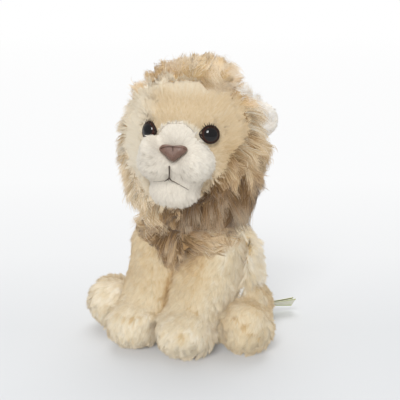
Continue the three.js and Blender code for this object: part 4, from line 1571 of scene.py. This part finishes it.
@dataclass
class Face:
    """The face panel, the cream pads round the nose, the nose and the eyes.

    Attributes:
        pile: The shorn pile's length.
        brim: How far the face's cloth reaches over the mane's front edge.
        draw: How far the muzzle's left lobe is drawn in.
        puff: How the right cheek is pushed up and out over its eye.
        specks: Pixels of the photograph with the grey specks that whiskers would grow from.
    """

    pile: float = 3.0
    brim: float = 3.0
    draw: float = 3.6
    puff: tuple = (0.0, -3.8, 5.2)
    specks: tuple = (
        *((146, 155), (152, 157), (143, 162), (150, 164), (157, 162), (147, 170), (155, 171)),
        *((183, 170), (190, 168), (181, 176), (188, 175), (195, 173), (200, 178), (192, 181))
    )

    def stuff(self, shop: Workshop) -> None:
        """Makes the pads."""

        def brim(points: Points) -> Points:
            """Stretches the face's cloth over the seam with the mane."""
            p = shop.head.inside(points)
            share = self.brim * smooth_step(0.7, 0.95, out_on_face(p)) * smooth_step(6, -3, p[:, 1])
            share *= 1 + 0.5 * smooth_step(15, 32, p[:, 2])
            p += (aside(p) - [0, 0.6, 0]) * share[:, None]
            return shop.head.outside(p)

        def turned(points: Points) -> Points:
            """Draws the left lobe and the chin in towards the right cheek."""
            p = shop.head.inside(points)
            low = smooth_step(10, 2, p[:, 2])
            p[:, 0] -= self.draw * smooth_step(6, 22, p[:, 0]) * low
            p[:, 0] -= self.draw * 0.8 * smooth_step(-16, -24, p[:, 2]) * smooth_step(22, 6, p[:, 0])
            cheek = smooth_step(10, 0, np.hypot(p[:, 0] + 16.5, p[:, 2] - 3)) * smooth_step(-14, -20, p[:, 1])
            p += np.array(self.puff) * cheek[:, None]
            return shop.head.outside(p)

        def full(points: Points) -> Points:
            """Rounds the nose's sides out towards its foot."""
            p = shop.head.inside(points)
            height = (p[:, 2] - p[:, 2].min()) / np.ptp(p[:, 2])
            p[:, 0] *= 1 + 0.3 * smooth_step(0.0, 0.4, height) * smooth_step(0.95, 0.5, height)
            p[:, 0] *= 1 - 0.05 * smooth_step(0.7, 1.0, height)
            return shop.head.outside(p)

        muzzle = dict(cloth=CREAM_BACKING, voxel=1.1, ease=12, sink=1.4, fillet=3.4, form=turned)
        nose = dict(cloth=NOSE_LEATHER, voxel=0.6, ease=5, sink=-0.1, form=full, fill=0.9)
        covers = ("muzzle_cover", "nose_bridge", "chin_cover")
        shop.stuff(
            Pad(
                "face_pad", Body.HEAD, Slot.TAN, ("face_cover",), ("head_stuffing",), voxel=1.8, sink=1.0,
                form=brim
            ),
            Pad("muzzle_pad", Body.HEAD, Slot.CREAM, covers, **muzzle),
            Pad("nose_pad", Body.HEAD, Slot.NOSE, ("nose",), **nose)
        )

    def dress(self, shop: Workshop) -> None:
        """Grows the pile and sews the details on."""

        def outward(p: Points) -> Points:
            """Away from the nose and out to the face's seam."""
            return unit((p - [0, 0, -4]) * [1, 0, 1]) + [0, 0.15, 0.05]

        def rim(p: Points) -> np.ndarray:
            """Longer pile at the face's seam."""
            return 1 + 1.1 * smooth_step(0.72, 0.95, out_on_face(p))

        def tone(p: Points) -> np.ndarray:
            """Warm on the brow; warmer and darker on the lower left cheek, a painted shade under the mane;
            paler on the right cheek, a painted light where the light falls; cream over the nose.
            """
            # The 0.42 term is painted light: paler towards the lion's right, where the light falls.
            brow = 0.34 + 0.42 * smooth_step(-12, -30, p[:, 0]) + 0.12 * smooth_step(8, -12, p[:, 2])
            brow += 0.3 * smooth_step(30, 38, p[:, 2])
            # Painted shade on the lower left cheek, under the overhanging mane.
            brow -= 0.25 * smooth_step(20, 30, p[:, 0]) * smooth_step(12, -4, p[:, 2])
            arc = np.hypot(p[:, 0] / 16.5, (p[:, 2] - 2) / 16.2)
            return brow + 0.5 * smooth_step(1.05, 0.95, arc)

        def cream(p: Points) -> np.ndarray:
            """Paler over the bridge and the left lobe than round the mouth."""
            return 0.64 + 0.06 * smooth_step(2, 12, p[:, 2]) + 0.14 * smooth_step(4, 18, p[:, 0])

        shorn = dict(
            width=0.4, stretches=1, stand=0.4, settle=0.15, tuft=1.4, gather=0.12, frizz=0.1, unruly=0.35,
            tint_spread=0.05, patch=0.08, spare=0.4
        )
        out, tint = shop.of_head(outward), shop.at_head(tone)
        seam = shop.at_head(lambda p: smooth_step(0.03, -0.03, beyond_face(p)))
        long = self.pile * 2.0
        for part, seed in (("collar", 53), ("crest", 54)):
            edge = dict(cover=seam, seed=seed, **shorn)
            coat = Coat(f"face_edge_{part}", FACE_PILE, 8.0, long, out, tint, **edge)
            shop.dress(coat, f"{part}_pad", "face_pad", "muzzle_pad")

        def off_eye(p: Points) -> Points:
            """From the nearer eye's middle, across and up."""
            across = np.sign(p[:, 0]) * (abs(p[:, 0]) - EYES_APART)
            return np.stack([across, np.zeros(len(p)), p[:, 2] - EYES_RISE], 1)

        lashline = shop.at_head(
            lambda p: smooth_step(8.6, 7.6, np.linalg.norm(off_eye(p), axis=1)) * (p[:, 1] < 0)
        )
        shop.dress(
            Coat(
                "eye_fringe", FACE_PILE, 9.0, 3.2, shop.of_head(lambda p: -unit(off_eye(p)) + [0, -0.5, 0]),
                tint, shop.at_head(lambda p: 0.8 + 0.6 * (p[:, 0] < 0) * smooth_step(13, 16, p[:, 2])),
                cover=lashline, seed=57, **{**shorn, "stand": 0.55, "settle": 0.4}
            ),
            "face_pad", "muzzle_pad", "eye_left", "eye_right"
        )
        shop.dress(
            Coat(
                "face_pile", FACE_PILE, 8.0, self.pile, out, tint, shop.at_head(rim), cover=seam, seed=51,
                **shorn
            ),
            "face_pad", "muzzle_pad", "collar_pad", "crest_pad", "hood_pad", "neck_pad", "eye_left",
            "eye_right"
        )
        shop.dress(
            Coat(
                "muzzle_pile", CREAM_PILE, 8.0, 3.0, shop.of_head(lambda p: unit(p - [0, -36, 4])),
                shop.marked("muzzle_pad", shop.at_head(cream), 0.36, 1.2, *self.specks),
                shop.at_head(lambda p: 1 + 0.7 * smooth_step(-22, -30, p[:, 2])), width=0.4, stretches=1,
                stand=0.4, settle=0.15, tuft=1.6, gather=0.35, tint_spread=0.07, spare=1.6, seed=52
            ),
            "muzzle_pad", "face_pad", "nose_pad"
        )
        self.sew_mouth(shop)

    def sew_mouth(self, shop: Workshop) -> None:
        """Sews the mouth and the nose's folds where the photograph shows them.

        Args:
            shop: The workshop.
        """
        mouth = (
            ("mouth_pleat", 0.5, ((169.3, 165.5), (169, 171), (168.2, 176.5), (168, 178.5))),
            ("mouth_left", 0.5, ((168.4, 176), (166.8, 178), (164.5, 179.2))),
            ("mouth_right", 0.55, ((168.4, 176), (170.5, 178.5), (174, 180.8)))
        )
        lips = (
            ("lip_left", 0.2, ((164.5, 179.2), (160, 180), (154, 180))),
            ("lip_right", 0.34, ((173.5, 180.5), (180, 184), (188, 188.5)))
        )
        folds = (
            ("nose_top_seam", 0.3, ((161, 148.5), (165, 147), (173, 146.8), (181, 147.8), (186, 149.6))),
            ("nose_pleat", 0.28, ((172.8, 147), (172.9, 149), (173, 151.5)))
        )
        for lines, pad, finish, lift in (
            (mouth, "muzzle_pad", MOUTH_THREAD, self.pile * 0.62),
            (lips, "muzzle_pad", LIP_THREAD, self.pile * 0.45), (folds, "nose_pad", NOSE_THREAD, 0.25)
        ):
            for name, radius, pixels in lines:
                path = [place + normal * lift for place, normal in shop.found(pad, *pixels)]
                thread(name, path, radius, finish, 0.45)


def thread(name: str, path: list, radius: float, finish: GrainFinish, end: float = 1.0) -> None:
    """Sews a thread to the head along points.

    Args:
        name: The piece's name.
        path: Points in millimetres.
        radius: The thread's radius.
        finish: Its finish.
        end: Its radius at the last point, as a share.
    """
    curve = bpy.data.curves.new(name, "CURVE")
    curve.dimensions = "3D"
    curve.bevel_depth = radius * MM
    curve.bevel_resolution = 2
    curve.use_fill_caps = True
    spline = curve.splines.new("NURBS")
    spline.points.add(len(path) - 1)
    for point, place, share in zip(spline.points, path, np.linspace(1, end, len(path))):
        point.co = (*(np.array(place) * MM), 1.0)
        point.radius = share
    spline.use_endpoint_u = True
    spline.order_u = 3
    spline.resolution_u = 5
    obj = bpy.data.objects.new(name, curve)
    bpy.context.scene.collection.objects.link(obj)
    activate(obj)
    bpy.ops.object.convert(target="MESH")
    obj = bpy.context.view_layer.objects.active
    obj.data.materials.append(finish.material())
    bpy.ops.object.shade_smooth()
    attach(obj, Body.HEAD.value)


@dataclass
class Moulding:
    """A moulded piece that coats keep clear of.

    Attributes:
        obj: Its object.
        tree: Its surface.
    """

    obj: bpy.types.Object
    tree: bvhtree.BVHTree


@dataclass
class Eye:
    """A domed eye on the skull, with a dark stitched rim and lashes.

    Attributes:
        side: Which of the two.
        skull: The skull's radii.
        apart: Half the way between the eyes.
        rise: Its height over the skull's centre.
        radius: The dome's radius at its foot.
        bulge: Its height.
        foot: How far its foot lies under the skull's surface.
        lashes: Each lash's degrees round from the inner corner, and its length.
    """

    side: Side
    skull: tuple[float, float, float] = (37.0, 32.0, 39.0)
    apart: float = EYES_APART
    rise: float = EYES_RISE
    radius: float = 5.25
    bulge: float = 3.6
    foot: float = 1.0
    lashes: tuple = (
        (52, 1.6), (66, 2.2), (79, 1.7), (92, 2.5), (104, 1.9), (117, 2.7), (131, 2.2), (146, 1.7)
    )

    @property
    def seat(self) -> tuple[Points, Points]:
        """The middle of its foot and the way that it looks, in the head's frame."""
        a, b, c = self.skull
        x, z = self.apart * self.side.value, self.rise
        y = -b * math.sqrt(1 - (x / a) ** 2 - (z / c) ** 2)
        return np.array([x, y, z]), unit(np.array([x / a**2, y / b**2, z / c**2]))

    def axes(self, shop: Workshop) -> tuple[Points, np.ndarray]:
        """The eye's middle and its own axes, across, up and out, in the row frame."""
        middle, out = self.seat
        across = unit(np.cross([0, 0, 1], out))
        rows = shop.head.way(np.array([across, np.cross(out, across), out]))
        return shop.head.outside(middle), rows

    def stuff(self, shop: Workshop) -> None:
        """Turns the dome and keeps it as something that coats stay clear of."""
        middle, axes = self.axes(shop)
        profile = [
            (self.radius * math.sin(t), self.bulge * math.cos(t) ** 0.9)
            for t in np.linspace(0, math.pi / 2 - 0.001, 16)
        ]
        profile += [(self.radius, -self.foot), (self.radius * 0.7, -self.foot - 0.3), (0.0, -self.foot - 0.3)]
        deselect()
        bpy.ops.mesh.primitive_circle_add(vertices=3, radius=1 * MM)
        obj = bpy.context.active_object
        obj.name = f"eye_dome_{self.side.word}"
        mesh = bmesh.new()
        made = [mesh.verts.new((r * MM, 0, h * MM)) for r, h in profile]
        edges = [mesh.edges.new(pair) for pair in zip(made, made[1:])]
        bmesh.ops.spin(
            mesh, geom=made + edges, cent=(0, 0, 0), axis=(0, 0, 1), angle=2 * math.pi, steps=48,
            use_merge=True
        )
        bmesh.ops.remove_doubles(mesh, verts=mesh.verts, dist=0.002 * MM)
        bmesh.ops.recalc_face_normals(mesh, faces=mesh.faces)
        layer = mesh.loops.layers.uv.new(PILE_UV)
        for face in mesh.faces:
            for loop in face.loops:
                x, y, _ = loop.vert.co / (self.radius * MM)
                loop[layer].uv = (0.5 + x * 0.495, 0.5 + y * 0.495)
        mesh.to_mesh(obj.data)
        mesh.free()
        set_vertices(obj, vertices(obj) @ axes + middle)
        obj.data.materials.append(EyePlastic().material())
        activate(obj)
        bpy.ops.object.shade_smooth()
        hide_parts(f"eye_{self.side.word}")
        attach(obj, Body.HEAD.value)
        shop.pads[f"eye_{self.side.word}"] = Moulding(obj, surface_tree(obj))

    def dress(self, shop: Workshop) -> None:
        """Sews the rim, with its pointed inner corner, and the lashes."""
        middle, axes = self.axes(shop)
        inner, word = -self.side.value, self.side.word
        r = self.radius + 0.25
        rim = []
        for turn in np.linspace(0, 2 * math.pi, 29):
            x, y = r * math.cos(turn), r * math.sin(turn)
            point = max(0.0, math.cos(turn) * inner) ** 10
            x += inner * 1.4 * point
            y += 0.5 * point
            rim.append(middle + np.array([x, y, 0.9]) @ axes)
        thread(f"eye_rim_{word}", rim, 0.42, DARK_THREAD)
        lid = [
            middle + np.array([r * math.cos(a), r * math.sin(a) - 0.1, 1.1]) @ axes
            for a in np.linspace(0.2, 2.94, 15)
        ]
        thread(f"eye_lid_{word}", lid, 0.62, DARK_THREAD, 0.4)
        corner = [
            middle + np.array([inner * x, 0.3 * (x - r), 0.6]) @ axes for x in (r - 0.4, r + 0.5, r + 1.6)
        ]
        thread(f"eye_corner_{word}", corner, 1.0, DARK_THREAD, 0.3)
        for k, (turn, size) in enumerate(self.lashes):
            a = math.radians(turn if inner < 0 else 180 - turn)
            start = np.array([math.cos(a) * (r - 0.3), math.sin(a) * (r - 0.3), 1.3])
            tip = start + np.array([(math.cos(a) + 0.3 * inner) * 0.8, math.sin(a), 0.5]) * size
            path = [middle + p @ axes for p in (start, (start + tip) / 2 + [0, 0, 0.3], tip)]
            thread(f"lash_{word}_{k}", path, 0.45, DARK_THREAD, 0.2)


@dataclass
class Mane:
    """The mane: a hood over the head, a collar round the face and a crest on top.

    Attributes:
        side_lock: The length of the hood's and the collar's locks.
        crest_lock: The length of the crest's locks.
    """

    side_lock: float = 18.0
    crest_lock: float = 16.0

    @staticmethod
    def to_ear(p: Points) -> np.ndarray:
        """The distance of points of the head's frame from the nearer ear."""
        return np.linalg.norm(np.stack([abs(p[:, 0]) - 40, p[:, 1] - 12, p[:, 2] - 14], 1), axis=1)

    @staticmethod
    def fluffy(p: Points) -> np.ndarray:
        """The places beside the ears where their white fluff grows, further back on the right."""
        back = np.where(p[:, 0] > 0, 9, 18)
        gap = np.linalg.norm(np.stack([abs(p[:, 0]) - 34, p[:, 1] - back, p[:, 2] - 23], 1), axis=1)
        return smooth_step(13, 9, gap)

    def stuff(self, shop: Workshop) -> None:
        """Makes the pads."""

        def flush(points: Points) -> Points:
            """Lowers the collar's front edge to the face's cloth."""
            p = shop.head.inside(points)
            p[:, 1] += 4.0 * smooth_step(1.28, 1.0, out_on_face(p)) * smooth_step(5, -5, p[:, 1])
            return shop.head.outside(p)

        over = ("head_stuffing",)
        for part, cloth, kind in (
            ("hood", MANE_BACKING, dict(over=over, sink=4.0)),
            ("collar", MANE_BACKING, dict(over=over, sink=4.0, form=flush)),
            ("crest", CREST_BACKING, dict(sink=6.0))
        ):
            kind |= dict(cloth=cloth, voxel=1.8, ease=6)
            shop.stuff(Pad(f"{part}_pad", Body.HEAD, Slot.MANE, (f"mane_{part}",), **kind))

    def dress(self, shop: Workshop) -> None:
        """Grows the locks."""

        def hang(p: Points) -> Points:
            """Out from the middle, back and down."""
            return aside(p) * 0.4 + [0, 0.45, -0.75]

        def fringe(p: Points) -> Points:
            """Out from the face, back, and down."""
            return aside(p) * 0.6 + [0, 0.55, -0.6]

        def beard(p: Points) -> Points:
            """Down, and a little out."""
            return aside(p) * 0.15 + [0, 0.05, -1.0]

        def fan(p: Points) -> Points:
            """Up from the brow, spreading to both sides."""
            return unit((p - [3, 0, 16]) * [1, 0, 1]) + [0, 0.35, 0.3]

        def quiff(p: Points) -> Points:
            """As the fan, and swept over to the left on the crown."""
            return fan(p) + [0.5, 0, 0] * smooth_step(-6, 10, p[:, :1])

        def shade(roots: Roots) -> np.ndarray:
            """Painted light and shade: paler at the lion's right, where the light falls, and paler on top;
            darker low on the left, a painted shade under the chin; with darker patches at random.
            """
            p = shop.head.inside(roots.point)
            # Painted light on the lion's right, at the front, where the light falls.
            light = 0.6 + 0.17 * smooth_step(-4, -30, p[:, 0]) * smooth_step(16, 2, p[:, 1])
            light += 0.12 * smooth_step(10, 35, p[:, 2]) + 0.25 * smooth_step(24, 10, self.to_ear(p))
            # Painted shade low on the left, under the chin.
            light -= 0.52 * smooth_step(-4, -22, p[:, 2]) * smooth_step(-20, 6, p[:, 0])
            return light + mottle(0.0, 0.3, 5.0)(roots)

        def low(p: Points) -> np.ndarray:
            """The lower part of the collar, whose locks hang over the neck."""
            return smooth_step(-16, -24, p[:, 2])

        def high(p: Points) -> np.ndarray:
            """The upper part of the collar, whose locks stand with the crest."""
            return smooth_step(22, 28, p[:, 2])

        def open_mane(p: Points) -> np.ndarray:
            """Where the face's short pile has ended."""
            return smooth_step(-0.03, 0.03, beyond_face(p))

        def trimmed(roots: Roots) -> np.ndarray:
            """Uneven locks, shorter round the ears and low on the right."""
            p = shop.head.inside(roots.point)
            cut = 0.6 * smooth_step(24, 10, self.to_ear(p))
            front = smooth_step(16, 4, p[:, 1])
            cut += (0.22 + 0.3 * smooth_step(0, -16, p[:, 2])) * smooth_step(-18, -30, p[:, 0]) * front
            nape = smooth_step(8, 16, p[:, 1]) * smooth_step(-10, -22, p[:, 2])
            return mottle(1.0, 0.5, 5.0)(roots) * (1 - np.minimum(cut, 0.75)) * (1 + 0.7 * nape)

        lock = dict(width=0.38, stretches=4, tuft=3.4, gather=0.26, frizz=0.1, unruly=0.5, droop=0.15)
        lock |= dict(tint_spread=0.12, stand=0.4, settle=0.15)
        upright = {
            **lock, "droop": 0.0, "stand": 0.55, "settle": 0.4, "unruly": 0.3, "gather": 0.1, "frizz": 0.12
        }
        hanging = {**lock, "droop": 0.4}
        on_head = shop.of_head
        shop.dress(
            Coat(
                "hood_locks", MANE_PILE, 3.6, self.side_lock, on_head(hang), shade, trimmed,
                cover=shop.at_head(lambda p: 1 - self.fluffy(p)), hug=5.5, free=0.8, seed=61, **lock
            ),
            "hood_pad", "face_pad", "collar_pad", "crest_pad", "neck_pad"
        )
        collar = (
            ("collar_locks", 1.0, fringe, shade, lambda p: (1 - low(p)) * (1 - high(p)), 5.5, 0.2, lock),
            ("beard_locks", 1.35, beard, shade, low, 6.5, 2.2, hanging),
            ("temple_locks", 0.7, fan, mottle(0.56, 0.2, 5.0), high, 6.0, 0.0, upright)
        )
        for k, (name, size, comb, tint, part, hug, free, kind) in enumerate(collar):
            length = self.side_lock * size
            cover = shop.at_head(lambda p, part=part: part(p) * open_mane(p) * (1 - self.fluffy(p)))
            kind = dict(cover=cover, hug=hug, free=free, spare=1.5, seed=64 + k, **kind)
            finish = CREST_PILE if part is high else MANE_PILE
            shop.dress(
                Coat(name, finish, 4.2, length, on_head(comb), tint, trimmed, **kind), "collar_pad",
                "face_pad", "crest_pad", "hood_pad", "muzzle_pad"
            )
        up = on_head(lambda p: aside(p) * 0.5 + [0, 0.2, 0.8])
        fluff = {**upright, "gather": 0.2, "hug": 9.0}
        cover = shop.at_head(self.fluffy)
        for pad, seed in (("hood_pad", 68), ("collar_pad", 69)):
            coat = Coat(
                f"ear_fluff_{pad[:-4]}", EAR_PILE, 8.0, 11.0, up, mottle(0.8, 0.3, 4.0), cover=cover,
                seed=seed, **fluff
            )
            shop.dress(coat, pad)
        cover = shop.at_head(open_mane)
        kind = dict(cover=cover, hug=5.0, spare=0.8, seed=67, **lock)
        shop.dress(
            Coat("cheek_locks", MANE_PILE, 5.0, 12.0, on_head(fringe), shade, **kind), "face_pad",
            "muzzle_pad", "collar_pad", "crest_pad", "hood_pad", "neck_pad"
        )
        kind = dict(cover=cover, hug=6.8, spare=1.5, seed=63, **{**upright, "tuft": 4.5})
        shop.dress(
            Coat(
                "crest_locks", CREST_PILE, 8.0, self.crest_lock, on_head(quiff), mottle(0.6, 0.2, 5.0), **kind
            ),
            "crest_pad", "face_pad", "hood_pad"
        )


@dataclass
class Ear:
    """A round ear, brown behind and fluffy white in front.

    Attributes:
        side: Which of the two.
    """

    side: Side

    def stuff(self, shop: Workshop) -> None:
        """Makes the pads."""
        word = self.side.word
        body = Body(f"ear_{word}")
        for part, cover, slot, size in (
            ("ear_pad", "ear_cover", Slot.TAN, dict(voxel=1.0, ease=4, sink=0.6)),
            ("ear_lining_pad", "ear_lining", Slot.CREAM, dict(voxel=0.8, ease=3, sink=0.3))
        ):
            shop.stuff(Pad(f"{part}_{word}", body, slot, (f"{cover}_{word}",), cloth=CREAM_BACKING, **size))

    def dress(self, shop: Workshop) -> None:
        """Grows the pile."""
        word = self.side.word
        s = self.side.value
        root = np.array([s * 30.0, 17.0, 2.0])
        out = shop.of_head(lambda p: unit(p - root) + [s * 0.15, 0.0, 0.35])
        inward = shop.at_head(lambda p: 1.6 - 1.1 * smooth_step(34, 44, p[:, 0] * s))
        wisps = dict(
            stretches=2, stand=0.45, settle=0.3, tuft=2.6, gather=0.25, frizz=0.1, unruly=0.6, spare=1.5
        )
        wisps |= dict(hug=4.5)
        for part, density, length, tint, seed in (
            ("ear", 9.0, 4.4, mottle(0.8, 0.3, 4.0), 71),
            ("ear_lining", 12.0, 6.0, mottle(0.85, 0.3, 5.0), 72)
        ):
            name = f"{part}_pile_{word}"
            coat = Coat(name, EAR_PILE, density, length, out, tint, inward, seed=seed, **wisps)
            shop.dress(coat, f"{part}_pad_{word}", "hood_pad")


@dataclass
class Label:
    """The care label: a bare ribbon, folded double and sewn in at its fold's back.

    Attributes:
        root: The seam's place in millimetres.
        width: The ribbon's width.
        leaves: The lengths of its two leaves.
        thickness: The ribbon's thickness.
        heading: The way it stands out, in degrees from +X.
        tilt: How far it leans from lying flat at its seam and at its end, in degrees.
    """

    root: Points
    width: float = 11.0
    leaves: tuple[float, float] = (28.0, 29.5)
    thickness: float = 0.25
    heading: float = 48.0
    tilt: tuple[float, float] = (20.0, 46.0)

    def profile(self) -> Points:
        """The folded ribbon's line: out along it, and off its middle plane."""
        upper, lower = self.leaves
        points = [(upper * t, 0.45 + 0.3 * t + 0.3 * math.sin(5 * t)) for t in np.linspace(1, 0.06, 18)]
        points += [(0.2, 0.0)]
        points += [(lower * t, -0.45 - 0.4 * t + 0.25 * math.sin(4 * t)) for t in np.linspace(0.06, 1, 18)]
        return np.array(points)

    def stuff(self, shop: Workshop) -> None:
        """Folds the ribbon."""
        line = self.profile()
        a = math.radians(self.heading)
        lean = np.radians(np.interp(line[:, 0], (0, max(self.leaves)), self.tilt))[:, None, None]
        out = np.array([math.cos(a), math.sin(a), 0])
        side, up = np.array([-math.sin(a), math.cos(a), 0]), np.array([0, 0, 1])
        off = side * np.sin(lean) + up * np.cos(lean)
        across = -side * np.cos(lean) + up * np.sin(lean)
        steps = np.linspace(-0.5, 0.5, 9)
        grid = self.root + line[:, None, :1] * out + line[:, None, 1:] * off
        grid = grid + steps[None, :, None] * self.width * across
        rows, columns = grid.shape[:2]
        deselect()
        bpy.ops.mesh.primitive_grid_add(x_subdivisions=columns - 1, y_subdivisions=rows - 1, size=1 * MM)
        obj = bpy.context.active_object
        obj.name = "label_ribbon"
        set_vertices(obj, grid.reshape(-1, 3))
        gone = np.linalg.norm(np.diff(line, axis=0), axis=1)
        place = np.append(0, np.cumsum(gone)) / gone.sum()
        uv = np.stack([np.repeat(place, columns), np.tile(steps + 0.5, rows)], 1)
        corners = np.empty(len(obj.data.loops), np.int32)
        obj.data.loops.foreach_get("vertex_index", corners)
        layer = obj.data.uv_layers.new(name=PILE_UV)
        layer.uv.foreach_set("vector", uv[corners].astype(np.float32).ravel())
        for other in [x for x in obj.data.uv_layers if x.name != PILE_UV]:
            obj.data.uv_layers.remove(other)
        apply_modifier(obj, "SOLIDIFY", thickness=self.thickness * MM, offset=0.0)
        obj.data.materials.append(RibbonFinish().material())
        activate(obj)
        bpy.ops.object.shade_smooth_by_angle(angle=math.radians(50))
        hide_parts("care_label")
        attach(obj, Body.LABEL.value)
        LOG.info("label_ribbon: %.1f by %.1f mm flat", self.width, float(gone.sum()))

    def dress(self, shop: Workshop) -> None:
        """The ribbon stays bare."""


def finish_inside(nodes: dict) -> None:
    """Gives the filling, the pellet bag and the washers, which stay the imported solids, their finishes.

    Args:
        nodes: The frame's CAD objects by name.
    """
    for finish, names in INNER_PIECES.items():
        material = finish.material()
        for name in names:
            nodes[name].data.materials.clear()
            nodes[name].data.materials.append(material)
    LOG.info("inside: %d pieces", sum(map(len, INNER_PIECES.values())))


def main() -> None:
    """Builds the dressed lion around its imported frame."""
    logging.basicConfig(level=logging.INFO, format="%(message)s")
    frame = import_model()
    deselect()
    photograph = Photograph()
    Studio().build(photograph)
    joints = {joint["name"]: joint for joint in frame["joints"]}
    shop = Workshop(frame["nodes"], HeadFrame.from_joint(joints["head_nod"], NECK_LENGTH), photograph)
    finish_inside(frame["nodes"])
    assemblies = [
        Trunk(), *(FrontLeg(side) for side in Side), *(HindLeg(side) for side in Side), Tail(), Face(),
        *(Eye(side) for side in Side), Mane(), *(Ear(side) for side in Side),
        Label(np.array(joints["label_flap"]["pos_m"]) / MM)
    ]
    for assembly in assemblies:
        assembly.stuff(shop)
    for assembly in assemblies:
        assembly.dress(shop)


if __name__ == "__main__":
    main()
